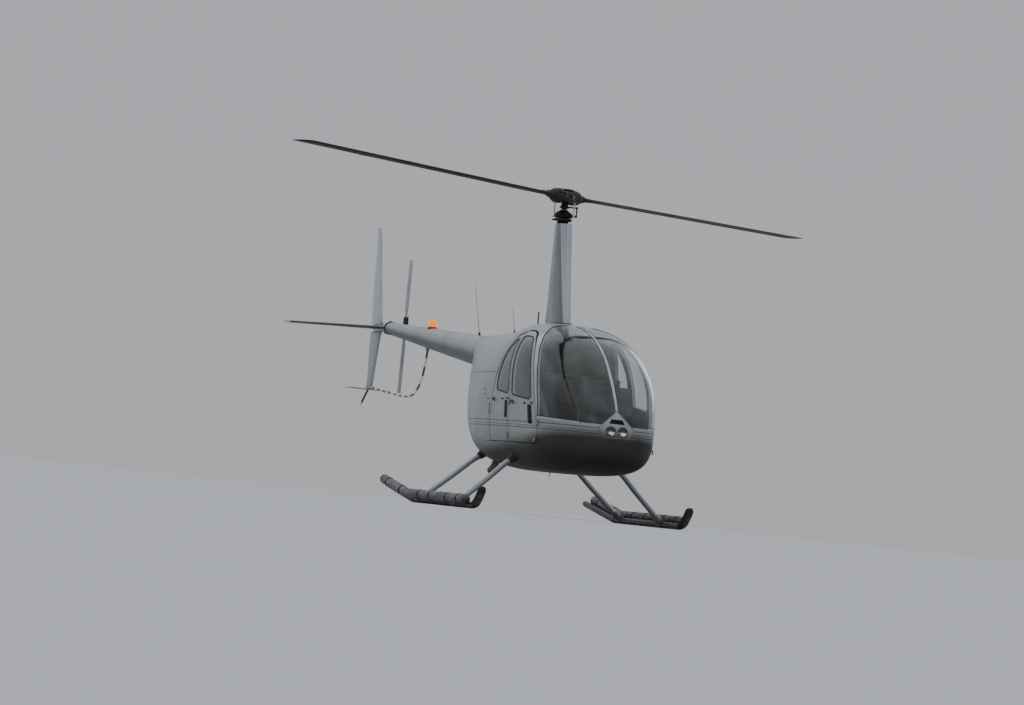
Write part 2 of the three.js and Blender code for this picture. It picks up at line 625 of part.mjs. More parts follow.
// Beacon and whip aerial on the cone
const onCone = (x) => {
  const share = (x - coneFront.x) / (coneRear.x - coneFront.x);
  return coneFront.z + share * (coneRear.z - coneFront.z)
    + coneFront.radius + share * (coneRear.radius - coneFront.radius);
};
const beaconX = -4050;
const beacon = new THREE.LatheGeometry([
  [0, 0], [52, 0], [52, 22], [46, 26], [44, 60], [34, 88], [16, 102], [0, 106],
].map(([r, h]) => new THREE.Vector2(r, h)), 16);
beacon.rotateX(Math.PI / 2);
beacon.translate(beaconX, 0, onCone(beaconX) - 20);
add('beacon', toSolid(beacon).subtract(hullOfCone(fit)), amber);
const aerialX = -2370;
const aerial = cylinder(at(aerialX, 0, onCone(aerialX) - 12), at(aerialX - 10, 0, onCone(aerialX) + 30), 14, 9, 12)
  .add(tube([at(aerialX - 8, 0, onCone(aerialX) + 20), at(aerialX - 150, 0, 2050), at(aerialX - 310, 0, 2325)],
    4, 6));
add('antenna_boom', aerial.subtract(hullOfCone(fit)), black);

// Skids, their stowed float bags and the bars that carry the body
const skidZ = skidRadius * Math.cos(Math.PI / 8);
const bendRear = [[-500, skidZ], [-560, skidZ], [-640, 38], [-760, 54]];
const skidLine = [[1612, 205], [1560, 120], [1470, 55], [1400, 35], [1340, skidZ], [1300, skidZ], [1200, skidZ],
  ...bendRear, [-1600, 172]];
const floatLine = [[1360, skidZ], [1200, skidZ], ...bendRear, [-1500, 158]];
const floatUp = Math.sqrt((skidRadius + floatRadius) ** 2 - floatOut ** 2);
const skid = (sign, radius) => tube(skidLine.map(([x, z]) => at(x, sign * skidY, z)), radius, 26);
const floatBag = (sign, radius) =>
  tube(floatLine.map(([x, z]) => at(x, sign * (skidY + floatOut), z + floatUp)), radius, 18, 10);
for (const [side, sign] of [['right', -1], ['left', 1]]) {
  const skidTube = skid(sign, skidRadius);
  const toe = sidePrism([[1400, 6], [1500, 46], [1600, 130], [1665, 215], [1630, 232], [1560, 150], [1470, 84],
    [1400, 60]], sign * skidY - 42, sign * skidY + 42);
  const aboveGround = box([-3000, 3000], [-1500, 1500], [0, 500]);
  add(`skid_${side}`, skidTube.add(toe).intersect(aboveGround), black);
  add(`float_bag_${side}`, floatBag(sign, floatRadius).subtract(skid(sign, skidRadius + fit)), fabric);
}
Object.keys(gearBars).forEach((place, k) => {
  let bar = bars[k];
  for (const sign of [-1, 1]) bar = bar.subtract(skid(sign, skidRadius + fit)).subtract(floatBag(sign, floatRadius + fit));
  add(`crosstube_${place}`, bar, silver);
});

export default craft;
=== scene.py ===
import math
import bpy
import numpy as np
from mathutils import Matrix, Vector, noise
from mathutils.geometry import delaunay_2d_cdt
from mathutils.kdtree import KDTree


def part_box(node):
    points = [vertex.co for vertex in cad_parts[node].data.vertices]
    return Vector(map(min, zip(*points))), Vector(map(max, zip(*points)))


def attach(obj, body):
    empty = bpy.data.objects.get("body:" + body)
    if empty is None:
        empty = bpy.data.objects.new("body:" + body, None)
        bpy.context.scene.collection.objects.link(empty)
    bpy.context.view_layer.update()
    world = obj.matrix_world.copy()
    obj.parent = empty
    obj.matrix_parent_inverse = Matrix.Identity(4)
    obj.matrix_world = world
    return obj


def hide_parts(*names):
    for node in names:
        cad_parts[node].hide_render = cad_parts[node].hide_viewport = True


# A four-seat light helicopter on skids. Metres, +X forward, +Y to port, +Z up.
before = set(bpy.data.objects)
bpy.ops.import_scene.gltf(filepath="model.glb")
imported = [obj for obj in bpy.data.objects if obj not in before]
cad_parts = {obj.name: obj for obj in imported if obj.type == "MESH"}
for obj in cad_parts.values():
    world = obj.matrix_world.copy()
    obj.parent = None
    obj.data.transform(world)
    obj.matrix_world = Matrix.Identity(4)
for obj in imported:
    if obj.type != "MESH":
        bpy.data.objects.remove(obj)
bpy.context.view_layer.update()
shaftLow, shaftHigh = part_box("rotor_shaft")
mastX = (shaftLow.x + shaftHigh.x) / 2    # the x values of all the tables below are ahead of the mast


def linkToScene(piece):
    bpy.context.scene.collection.objects.link(piece)
    return piece


# Camera: level with the floor, as near as that comes to the photo's view from below
cameraSet = {
    "azimuth": 18.27,      # degrees to starboard of the nose
    "distance": 60.0,      # from the mast
    "height": 0.04,
    "roll": 5.9,           # degrees
    "lens": 210.4,
    "sensor": 36,
    "picture": (1024, 705),
    "aim": (0.9, 0.0, 1.05),       # this point of the body
    "aimPixel": (571.9, 412.0),    # lies here in the picture
}


def makeCamera():
    c = cameraSet
    wide, tall = c["picture"]
    turn = math.radians(c["azimuth"])
    place = Vector((mastX + c["distance"] * math.cos(turn), -c["distance"] * math.sin(turn), c["height"]))
    focal = c["lens"] / c["sensor"] * wide
    aim = Vector(c["aim"]) + Vector((mastX, 0, 0))
    toAim = (aim - place).normalized()
    tilt = math.radians(c["roll"])
    right = toAim.cross(Vector((0, 0, 1))).normalized()
    up = right.cross(toAim)
    right, up = right * math.cos(tilt) + up * math.sin(tilt), up * math.cos(tilt) - right * math.sin(tilt)
    sideways = (c["aimPixel"][0] - wide / 2) / focal
    down = (c["aimPixel"][1] - tall / 2) / focal
    ahead = (toAim - right * sideways + up * down).normalized()
    right = (right - ahead * right.dot(ahead)).normalized()
    up = right.cross(ahead)
    camera = linkToScene(bpy.data.objects.new("camera", bpy.data.cameras.new("camera")))
    camera.data.lens = c["lens"]
    camera.data.sensor_width = c["sensor"]
    camera.data.clip_start, camera.data.clip_end = 0.05, 900
    camera.matrix_world = Matrix((right, up, -ahead)).transposed().to_4x4()
    camera.location = place
    bpy.context.scene.camera = camera


makeCamera()
print("camera is set")


# Materials
def shaderOf(name):
    material = bpy.data.materials.new(name)
    material.use_nodes = True
    return material, material.node_tree, material.node_tree.nodes["Principled BSDF"]


def wire(tree, node, inputs):
    # Each input is linked to a socket or set to a value
    for name, value in inputs.items():
        if isinstance(value, bpy.types.NodeSocket):
            tree.links.new(value, node.inputs[name])
        else:
            node.inputs[name].default_value = value
    return node


def addNode(tree, kind, inputs, **settings):
    node = tree.nodes.new("ShaderNode" + kind)
    for name, value in settings.items():
        setattr(node, name, value)
    return wire(tree, node, inputs).outputs


def objectNoise(tree, scale, detail=4.0, stretch=(1, 1, 1)):
    # Noise on the piece's own coordinates, so that it moves with the piece
    coords = addNode(tree, "TexCoord", {})["Object"]
    spot = addNode(tree, "Mapping", {"Scale": stretch, "Vector": coords})["Vector"]
    return addNode(tree, "TexNoise", {"Scale": scale, "Detail": detail, "Roughness": 0.55,
                                      "Vector": spot})["Fac"]


def ramp(tree, source, stops):
    node = tree.nodes.new("ShaderNodeValToRGB")
    while len(node.color_ramp.elements) < len(stops):
        node.color_ramp.elements.new(0.5)
    for element, (place, color) in zip(node.color_ramp.elements, stops):
        element.position = place
        element.color = (*color, 1) if len(color) == 3 else (color[0],) * 3 + (1,)
    return wire(tree, node, {"Fac": source}).outputs["Color"]


def smoothSpan(tree, source, low, high, least=0.0, most=1.0):
    # The least value below low, the most above high, and eased between them
    values = {"Value": source, "From Min": low, "From Max": high, "To Min": least, "To Max": most}
    return addNode(tree, "MapRange", values, interpolation_type="SMOOTHSTEP")["Result"]


def mathOf(tree, operation, *values):
    return addNode(tree, "Math", dict(enumerate(values)), operation=operation)["Value"]


def axesOf(tree, vector):
    return addNode(tree, "SeparateXYZ", {"Vector": vector})


def facingUp(tree, span, least):
    # How far a face looks up, with the least share on faces that look down
    return smoothSpan(tree, axesOf(tree, addNode(tree, "NewGeometry", {})["Normal"])["Z"], *span, least)


def addBump(tree, shader, source, strength, distance=0.002):
    bump = addNode(tree, "Bump", {"Strength": strength, "Distance": distance, "Height": source})
    wire(tree, shader, {"Normal": bump["Normal"]})


def mixColors(tree, share, first, second, how="MIX"):
    first, second = ((*value, 1) if isinstance(value, tuple) else value for value in (first, second))
    return addNode(tree, "Mix", {"Factor": share, 6: first, 7: second}, data_type="RGBA", blend_type=how)[2]


def surface(name, tones, roughness, metallic=0.0, scale=6.0, grain=0.0, grainScale=120.0, coat=0.0,
            sheen=0.0, specular=0.5):
    # A finish of two tones with cloudy variation in colour and gloss, and a fine grain
    material, tree, shader = shaderOf(name)
    low, high = roughness
    wire(tree, shader, {
        "Base Color": ramp(tree, objectNoise(tree, scale), [(0.35, tones[0]), (0.68, tones[1])]),
        "Roughness": ramp(tree, objectNoise(tree, scale * 3.1), [(0.3, (low,)), (0.7, (high,))]),
        "Metallic": metallic,
        "Specular IOR Level": specular,
        "Coat Weight": coat,
        "Coat Roughness": 0.08,
        "Sheen Weight": sheen,
    })
    if grain:
        addBump(tree, shader, objectNoise(tree, grainScale, 6), grain)
    return material


paintSet = {
    "silver": (0.33, 0.34, 0.345),
    "shade": (0.24, 0.247, 0.25),
    "flakes": ((0.3, 0.31, 0.32), (0.6, 0.61, 0.62)),
    "flakeScale": 900.0,
    "flakeShare": 0.25,
    "belly": (0.046, 0.045, 0.04),
    "bellySide": (0.125, 0.123, 0.113),    # painted shade of the lower body, lighter under the doors, which the light still reaches
    "sideSpan": (1.15, 1.75),              # ahead of the mast, where one turns into the other
    "bellyLow": 0.7,       # height where the lower body's painted shade is full, 1.5 m ahead of the mast
    "bellyHigh": 0.84,     # and where it begins
    "bellyRise": 0.115,    # how fast that edge climbs towards the nose
    "bellyWave": 0.1,      # how far it strays
    "bellyRough": 0.85,
    "shadeMottle": 0.6,          # how much of the colour is left in the dark spots of the painted shade on the lower body
    "under": 0.32,         # how much of the colour is left on a face that looks straight down, as painted shade on undersides
    "metallic": 0.6,
    "gloss": (0.27, 0.42),
    "stripe": (0.06, 0.064, 0.068),
    "stripes": ((0.897, 0.905), (0.866, 0.871), (0.842, 0.85)),   # low and high edge of each pinstripe
}


def silverPaint(name, striped=False, bellied=False, facingSpan=(-0.9, 0.3)):
    material, tree, shader = shaderOf(name)
    p = paintSet
    color = ramp(tree, objectNoise(tree, 1.6, 5), [(0.3, p["shade"]), (0.62, p["silver"])])
    flake = ramp(tree, objectNoise(tree, p["flakeScale"], 1), list(zip((0.4, 0.6), p["flakes"])))
    color = mixColors(tree, p["flakeShare"], color, flake)
    axes = axesOf(tree, addNode(tree, "TexCoord", {})["Object"])
    # Painted shade on the lower body: under a wavy edge that climbs towards the nose the colour turns dark
    # and mottled, and a little lighter under the doors
    if bellied:
        edge = mathOf(tree, "MULTIPLY_ADD", objectNoise(tree, 1.1, 3), p["bellyWave"], axes["Z"])
        edge = mathOf(tree, "MULTIPLY_ADD", axes["X"], -p["bellyRise"], edge)
        level = p["bellyWave"] / 2 - p["bellyRise"] * (mastX + 1.5)
        lit = smoothSpan(tree, edge, p["bellyLow"] + level, p["bellyHigh"] + level)
        ahead = smoothSpan(tree, axes["X"], *(x + mastX for x in p["sideSpan"]))
        shadeMottle = objectNoise(tree, 3.0, 8, (0.5, 1, 2.5))
        side, dark = (ramp(tree, shadeMottle, [(0.3, tuple(p["shadeMottle"] * v for v in tone)), (0.7, tone)])
                      for tone in (p["bellySide"], p["belly"]))
        color = mixColors(tree, lit, mixColors(tree, ahead, side, dark), color)
    if striped:
        for low, high in p["stripes"]:
            band = mathOf(tree, "COMPARE", axes["Z"], (low + high) / 2, (high - low) / 2)
            color = mixColors(tree, band, color, p["stripe"])
    # Painted shade on faces that look down: the colour is multiplied down towards the least share
    share = facingUp(tree, facingSpan, p["under"])
    color = mixColors(tree, 1.0, color, share, "MULTIPLY")
    # Where shade is painted, the paint also loses metal and gloss, so that it stays dark
    if bellied:
        share = mathOf(tree, "MULTIPLY", share, lit)
    low, high = p["gloss"]
    gloss = ramp(tree, objectNoise(tree, 9, 6), [(0.3, (low,)), (0.75, (high,))])
    wire(tree, shader, {
        "Base Color": color,
        "Metallic": addNode(tree, "MapRange", {"Value": share, "To Max": p["metallic"]})["Result"],
        "Roughness": mixColors(tree, share, (p["bellyRough"],) * 3, gloss),
        "Coat Weight": 0.06 if bellied else 0.15,
        "Coat Roughness": 0.06,
        "Specular IOR Level": 0.3,
    })
    addBump(tree, shader, objectNoise(tree, 70, 2), 0.03, 0.001)
    return material


def windowAcrylic(name, tint, roughness=0.01, haze=0.14):
    material, tree, shader = shaderOf(name)
    pale = tuple(min(1, 1.12 * v) for v in tint)
    smears = [(0.45, (roughness,)), (0.85, (roughness + 0.1,))]
    wire(tree, shader, {
        "Base Color": ramp(tree, objectNoise(tree, 2.2, 5), [(0.3, tint), (0.75, pale)]),
        "Roughness": ramp(tree, objectNoise(tree, 26, 7), smears),
        "Transmission Weight": 1.0,
        "IOR": 1.14,
        "Coat Weight": 0.6,
        "Coat Roughness": haze,
        "Coat IOR": 1.5,
    })
    return material


def paintShadeBelow(material, span, least):
    # Painted shade: less of the colour on faces that look down
    tree = material.node_tree
    shader = tree.nodes["Principled BSDF"]
    color = shader.inputs["Base Color"].links[0].from_socket
    wire(tree, shader, {"Base Color": mixColors(tree, 1.0, color, facingUp(tree, span, least), "MULTIPLY")})


def lampReflector():
    # Painted reflection: bright in the lower half, which looks up, as if it showed the sky, and dark in the
    # upper, as if it showed the ground
    material, tree, shader = shaderOf("lamp_reflector")
    facing = axesOf(tree, addNode(tree, "NewGeometry", {})["Normal"])["Z"]
    tones = [(0.0, (0.03, 0.03, 0.032)), (0.1, (0.75, 0.76, 0.78)), (0.5, (0.96, 0.97, 0.98))]
    wire(tree, shader, {
        "Base Color": ramp(tree, facing, tones),
        "Roughness": ramp(tree, objectNoise(tree, 30), [(0.3, (0.1,)), (0.7, (0.18,))]),
        "Metallic": 1.0,
    })
    return material


# The body and the lamp housing carry painted shade on the lower body
bodyPaint = silverPaint("silver_body_paint", striped=True, bellied=True)
housingPaint = silverPaint("lamp_housing_paint", bellied=True)
plainPaint = silverPaint("silver_paint")
postPaint = surface("light_grey_post_paint", ((0.34, 0.36, 0.38), (0.46, 0.48, 0.5)), (0.3, 0.45), 0.4,
                    coat=0.3)
windowClear = windowAcrylic("clear_acrylic", (0.8, 0.83, 0.84))
rubberSeal = surface("black_rubber_seal", ((0.012, 0.012, 0.013), (0.03, 0.03, 0.032)), (0.55, 0.8),
                     grain=0.2)
cabinTrim = surface("grey_cabin_trim", ((0.03, 0.031, 0.033), (0.052, 0.053, 0.056)), (0.6, 0.85), grain=0.3,
                    grainScale=380, sheen=0.1)
headliner = surface("grey_headliner_cloth", ((0.075, 0.073, 0.07), (0.11, 0.108, 0.105)), (0.8, 0.95),
                    grain=0.4, grainScale=600, sheen=0.3)
rotorBlack = surface("satin_black_paint", ((0.008, 0.008, 0.009), (0.022, 0.022, 0.023)), (0.45, 0.7),
                     grain=0.15, specular=0.35)
bareSteel = surface("ground_steel", ((0.42, 0.42, 0.43), (0.58, 0.58, 0.59)), (0.18, 0.4), 1.0, grain=0.1)
darkSteel = surface("dark_zinc_steel", ((0.12, 0.12, 0.125), (0.22, 0.22, 0.225)), (0.3, 0.55), 0.9,
                    grain=0.1)
castAlloy = surface("cast_alloy", ((0.2, 0.205, 0.21), (0.34, 0.345, 0.35)), (0.4, 0.7), 0.8, grain=0.7,
                    grainScale=260)
reflector = lampReflector()
lampGlass = windowAcrylic("lamp_glass", (0.96, 0.97, 0.98), 0.0, 0.02)
fairingPaint = surface("mast_fairing_paint", ((0.105, 0.12, 0.14), (0.155, 0.17, 0.19)), (0.28, 0.4), 0.5,
                       1.2, coat=0.3)
# A painted highlight along the leading edge of the mast fairing
fairingHighlightPaint = surface("mast_fairing_highlight_paint", ((0.34, 0.37, 0.41), (0.44, 0.47, 0.51)), (0.25, 0.38),
                           0.5, 1.2, coat=0.3)
# The boom's paint, with a sharper painted shade on its underside
boomPaint = silverPaint("boom_silver_paint", facingSpan=(-0.35, 0.35))
bladePaint = surface("blade_black_paint", ((0.011, 0.011, 0.012), (0.016, 0.016, 0.017)), (0.58, 0.68),
                     scale=1.5, specular=0.2)
tailBladePaint = surface("tail_blade_grey_paint", ((0.3, 0.31, 0.32), (0.4, 0.41, 0.42)), (0.3, 0.5), 0.3)
stabilizerPaint = surface("stabilizer_dark_paint", ((0.022, 0.024, 0.028), (0.045, 0.047, 0.052)),
                          (0.3, 0.5), 0.3)
whiteBand = surface("worn_white_paint", ((0.5, 0.49, 0.46), (0.66, 0.65, 0.62)), (0.3, 0.5), scale=14)
darkRedBand = surface("dark_red_paint", ((0.1, 0.012, 0.01), (0.2, 0.022, 0.016)), (0.3, 0.5), scale=14)
skidPaint = surface("worn_skid_paint", ((0.02, 0.02, 0.022), (0.075, 0.075, 0.078)), (0.35, 0.6), 0.3, 14)
floatCloth = surface("grey_coated_cloth", ((0.022, 0.022, 0.023), (0.15, 0.15, 0.154)), (0.4, 0.7), 0.0, 9,
                     0.35, 240, sheen=0.1)
# Painted shade on the undersides of the float covers
paintShadeBelow(floatCloth, (-0.5, 0.6), 0.22)
exhaustSteel = surface("heat_stained_steel", ((0.06, 0.052, 0.045), (0.15, 0.14, 0.13)), (0.3, 0.55), 0.9,
                       14)
beaconGlow = surface("glowing_beacon_lens", ((0.4, 0.05, 0.004), (0.55, 0.08, 0.006)), (0.1, 0.2))
wire(beaconGlow.node_tree, beaconGlow.node_tree.nodes["Principled BSDF"],
     {"Emission Color": (1.0, 0.22, 0.0, 1), "Emission Strength": 1.3})
seatLeather = surface("dark_seat_leather", ((0.022, 0.021, 0.02), (0.048, 0.046, 0.044)), (0.4, 0.6),
                      grain=0.25, grainScale=420)
beltWebbing = surface("grey_belt_webbing", ((0.1, 0.1, 0.105), (0.16, 0.16, 0.165)), (0.7, 0.9), scale=20,
                      grain=0.5, grainScale=700)
consoleFinish = surface("console_crackle_paint", ((0.012, 0.012, 0.012), (0.026, 0.025, 0.024)), (0.55, 0.8),
                        scale=9, grain=0.5, grainScale=500)
gripRubber = surface("grip_rubber", ((0.01, 0.01, 0.01), (0.02, 0.02, 0.021)), (0.6, 0.85), grain=0.6,
                     grainScale=500)

# Colour slot names for each finish; makePiece looks up the slot of a piece that names none, but does not
# store it on the piece
slotFinishes = {
    "silver_paint": (plainPaint, postPaint, boomPaint, fairingPaint, fairingHighlightPaint, whiteBand),
    "console_black": (rubberSeal, gripRubber, consoleFinish),
    "shaft_steel": (bareSteel, darkSteel),
    "rotor_black": (rotorBlack, bladePaint, stabilizerPaint),
    "beacon_red": (darkRedBand, beaconGlow),
    "cast_alloy": (castAlloy,),
    "skid_dark": (skidPaint,),
    "float_cover": (floatCloth,),
    "exhaust_steel": (exhaustSteel,),
    "seat_leather": (seatLeather,),
    "cabin_trim": (beltWebbing,),
    "acrylic": (lampGlass,),
}
slotOf = {finish.name: slot for slot, finishes in slotFinishes.items() for finish in finishes}
print("materials are made")


# Mesh parts are (vertices, faces) pairs, joined before they become a piece
def join(*parts):
    vertices, faces, start = [], [], 0
    for points, polygons in parts:
        vertices.append(np.asarray(points, float).reshape(-1, 3))
        faces += [[i + start for i in polygon] for polygon in polygons]
        start += len(vertices[-1])
    return np.vstack(vertices), faces


def fromMast(points):
    return np.asarray(points, float) + (mastX, 0, 0)


def mirrored(part):
    points, polygons = part
    return np.asarray(points) * (1, -1, 1), [polygon[::-1] for polygon in polygons]


def bothSides(part):
    return join(part, mirrored(part))


bothHands = (("right", -1), ("left", 1))


def onSide(part, sign):
    # A part made for the port side, on the side of the sign
    return part if sign > 0 else mirrored(part)


def makePiece(name, part, materials, replaces=(), body="airframe", slot=None, sharp=35, bevel=0.0,
              marks=None, subdivide=0):
    points, polygons = part
    mesh = bpy.data.meshes.new(name)
    mesh.from_pydata([tuple(p) for p in np.asarray(points, float)], [], [list(p) for p in polygons])
    mesh.update()
    if not isinstance(materials, list):
        slot = slot or slotOf.get(materials.name)
        materials = [materials]
    for material in materials:
        mesh.materials.append(material)
    if marks is not None:
        mesh.polygons.foreach_set("material_index", np.asarray(marks, np.int32))
    mesh.polygons.foreach_set("use_smooth", np.ones(len(mesh.polygons), bool))
    mesh.set_sharp_from_angle(angle=math.radians(sharp))
    piece = linkToScene(bpy.data.objects.new(name, mesh))
    if bevel:
        edge = piece.modifiers.new("edges", "BEVEL")
        edge.width, edge.segments, edge.limit_method, edge.angle_limit = bevel, 2, "ANGLE", math.radians(40)
    if subdivide:
        smooth = piece.modifiers.new("smooth", "SUBSURF")
        smooth.levels = smooth.render_levels = subdivide
    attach(piece, body)
    if replaces:
        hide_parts(*replaces)
    return piece


def fullTurn(count):
    return np.linspace(0, 2 * math.pi, count, endpoint=False)


def unit(vectors):
    return vectors / np.maximum(np.linalg.norm(vectors, axis=-1, keepdims=True), 1e-12)


def directions(line):
    return unit(np.gradient(np.asarray(line, float), axis=0))


def reachAlong(line):
    # The length of a line up to each of its points
    return np.concatenate([[0], np.cumsum(np.linalg.norm(np.diff(line, axis=0), axis=1))])


def roundedSquare(angles, power):
    # The places at these angles: 2 gives a circle, more gives a squarer outline
    c, s = np.cos(angles), np.sin(angles)
    reach = (np.abs(c) ** power + np.abs(s) ** power) ** (-1 / power)
    return reach * c, reach * s


def inPlane(points, y=0.0):
    # (x, z) pairs as points at y
    x, z = np.transpose(points)
    return fromMast(np.column_stack([x, np.full(len(x), y), z]))


def frameAlong(axis):
    axis = unit(np.asarray(axis, float))
    side = unit(np.cross(axis, (0, 0, 1) if abs(axis[2]) < 0.9 else (1, 0, 0)))
    return side, np.cross(axis, side)


def loft(rings, looped=False):
    # A closed skin over rings of equal count, first to last, or round a loop
    count, total = len(rings[0]), len(rings)
    faces = []
    for r in range(total if looped else total - 1):
        for k in range(count):
            a, b = r * count + k, r * count + (k + 1) % count
            up = ((r + 1) % total - r) * count
            faces.append([a, b, b + up, a + up])
    if not looped:
        faces.append(list(range(count))[::-1])
        faces.append([(total - 1) * count + k for k in range(count)])
    points = np.vstack(rings)
    quads = np.array([f for f in faces if len(f) == 4])
    corner = points - points.mean(0)
    a, b, c, d = (corner[quads[:, k]] for k in range(4))
    volume = np.sum(a * np.cross(b, c)) + np.sum(a * np.cross(c, d))
    for cap in (f for f in faces if len(f) != 4):
        for k in range(1, len(cap) - 1):
            volume += np.dot(corner[cap[0]], np.cross(corner[cap[k]], corner[cap[k + 1]]))
    return points, faces if volume > 0 else [f[::-1] for f in faces]


def turned(profile, origin, axis, sides=24):
    # A turned part from (radius, height) pairs along an axis
    side, other = frameAlong(axis)
    axis, around = unit(np.asarray(axis, float)), fullTurn(sides)
    circle = np.outer(np.cos(around), side) + np.outer(np.sin(around), other)
    return loft([np.asarray(origin) + h * axis + max(r, 1e-5) * circle for r, h in profile])


def rod(start, end, radius, endRadius=None, sides=16):
    start, end = np.asarray(start, float), np.asarray(end, float)
    far = (radius if endRadius is None else endRadius, np.linalg.norm(end - start))
    return turned([(radius, 0), far], start, end - start, sides)


def block(low, high):
    (x0, y0, z0), (x1, y1, z1) = low, high
    points = [(x, y, z) for x in (x0, x1) for y in (y0, y1) for z in (z0, z1)]
    faces = [[0, 1, 3, 2], [4, 6, 7, 5], [0, 4, 5, 1], [2, 3, 7, 6], [0, 2, 6, 4], [1, 5, 7, 3]]
    return np.array(points), faces


def spin(part, axis, degrees, about=(0, 0, 0)):
    turn = np.array(Matrix.Rotation(math.radians(degrees), 3, Vector(axis)))
    points, polygons = part
    return (np.asarray(points) - about) @ turn.T + about, polygons


def shifted(part, by):
    return np.asarray(part[0]) + by, part[1]


def pathThrough(points, count):
    # A smooth path through points, sampled at equal steps
    p = np.asarray(points, float)
    p = np.vstack([2 * p[0] - p[1], p, 2 * p[-1] - p[-2]])
    line = []
    for i in range(1, len(p) - 2):
        a, b, c, d = p[i - 1:i + 3]
        d0, d1, d2 = (max(np.linalg.norm(v) ** 0.5, 1e-4) for v in (b - a, c - b, d - c))
        leave = ((b - a) / d0 - (c - a) / (d0 + d1) + (c - b) / d1) * d1
        arrive = ((c - b) / d1 - (d - b) / (d1 + d2) + (d - c) / d2) * d1
        for w in np.linspace(0, 1, 24, endpoint=i == len(p) - 3):
            line.append(b + leave * w + (-3 * b + 3 * c - 2 * leave - arrive) * w ** 2
                        + (2 * b - 2 * c + leave + arrive) * w ** 3)
    line = np.array(line)
    reach = reachAlong(line)
    wanted = np.linspace(0, reach[-1], count)
    return np.stack([np.interp(wanted, reach, line[:, k]) for k in range(3)], 1)


def pipe(line, radius, sides=16):
    # A tube along a line of points; radius is one value or one for each point
    line = np.asarray(line, float)
    radii = np.broadcast_to(np.asarray(radius, float), (len(line),))
    tangents, around = directions(line), fullTurn(sides)
    side, _ = frameAlong(tangents[0])
    rings = []
    for point, tangent, r in zip(line, tangents, radii):
        side = unit(side - tangent * np.dot(side, tangent))
        other = np.cross(tangent, side)
        rings.append(point + r * (np.outer(np.cos(around), side) + np.outer(np.sin(around), other)))
    return loft(rings)


# The body's skin: its sections from nose to tail, and a smooth surface through them
bodySet = {
    "sections": (
        # x, half width, bottom, belt, top, fullness above the belt
        (2.320, 0.000, 0.840, 0.840, 0.840, 2.4),
        (2.305, 0.150, 0.690, 0.845, 0.960, 2.4),
        (2.250, 0.290, 0.590, 0.855, 1.090, 2.5),
        (2.130, 0.415, 0.520, 0.880, 1.240, 2.7),
        (1.950, 0.512, 0.480, 0.925, 1.425, 2.8),
        (1.700, 0.580, 0.455, 0.985, 1.620, 3.0),
        (1.350, 0.630, 0.440, 1.030, 1.785, 3.1),
        (0.950, 0.648, 0.435, 1.045, 1.880, 3.1),
        (0.500, 0.645, 0.435, 1.040, 1.920, 2.9),
        (0.050, 0.632, 0.440, 1.015, 1.915, 2.4),
        (-0.400, 0.600, 0.485, 1.010, 1.880, 2.0),
        (-0.800, 0.530, 0.590, 1.080, 1.850, 1.9),
        (-1.150, 0.440, 0.770, 1.200, 1.828, 1.9),
        (-1.450, 0.345, 1.000, 1.350, 1.812, 1.9),
        (-1.700, 0.255, 1.230, 1.500, 1.800, 2.0),
        (-1.905, 0.188, 1.422, 1.610, 1.794, 2.0),
    ),
    "lowerFullness": 3.4,
    "wall": 0.03,
    "grid": 0.03,        # spacing of the mesh over the skin
    "girth": 0.62,        # metres for each radian round the body, for the flat layout of the skin
}
sections = np.array(bodySet["sections"])
girth = bodySet["girth"]


def sectionAt(t):
    t = np.asarray(t, float)
    padded = np.vstack([2 * sections[0] - sections[1], sections, 2 * sections[-1] - sections[-2]])
    along = np.clip(t, 0, 1) * (len(sections) - 1)
    i = np.minimum(along.astype(int), len(sections) - 2)
    w = (along - i)[..., None]
    a, b, c, d = (padded[i + k] for k in range(4))
    leave, arrive = (c - a) / 2, (d - b) / 2
    bend, twist = 3 * (c - b) - 2 * leave - arrive, 2 * (b - c) + leave + arrive
    return b + leave * w + bend * w ** 2 + twist * w ** 3


sampleT = np.linspace(0, 1, 3001)
sampleSections = sectionAt(sampleT)
sampleX = sampleSections[:, 0]
sampleS = reachAlong(sampleSections[:, :2])


def skinPoint(t, turn):
    x, halfWidth, bottom, belt, top, fullness = np.moveaxis(sectionAt(t), -1, 0)
    above = np.sin(turn) >= 0
    across, up = roundedSquare(turn, np.where(above, fullness, bodySet["lowerFullness"]))
    tall = np.where(above, top - belt, belt - bottom)
    return np.stack([x + mastX, halfWidth * across, belt + tall * up], -1)


def skinNormal(t, turn):
    step = 1e-3
    t = np.clip(t, 0.002, 1)
    along = skinPoint(np.minimum(t + step, 1), turn) - skinPoint(np.maximum(t - step, 0), turn)
    across = skinPoint(t, turn + step) - skinPoint(t, turn - step)
    normal = unit(np.cross(along, across))
    outward = skinPoint(t, turn) - np.stack([sectionAt(t)[..., 0] + mastX, 0 * t, sectionAt(t)[..., 3]], -1)
    flip = np.sign(np.sum(normal * outward, -1, keepdims=True))
    return normal * np.where(flip == 0, 1, flip)


def onSkin(place, depth=0.0):
    # Points on the skin, or under it by a depth, from places in its flat layout
    place = np.asarray(place, float).reshape(-1, 2)
    t = np.interp(place[:, 0], sampleS, sampleT)
    turn = place[:, 1] / girth
    points, normals = skinPoint(t, turn), skinNormal(t, turn)
    normals[t < 1e-6] = (1, 0, 0)
    return points - normals * depth, normals


def tAt(x):
    return np.interp(-np.asarray(x, float), -sampleX, sampleT)


def halfAt(t, z):
    # Half width and belt of the section at t, and height and power of its upper or lower half, where z is
    _, halfWidth, bottom, belt, top, fullness = np.moveaxis(sectionAt(t), -1, 0)
    above = z >= belt
    tall = np.maximum(np.where(above, top - belt, belt - bottom), 1e-6)
    return np.maximum(halfWidth, 1e-6), belt, tall, np.where(above, fullness, bodySet["lowerFullness"])


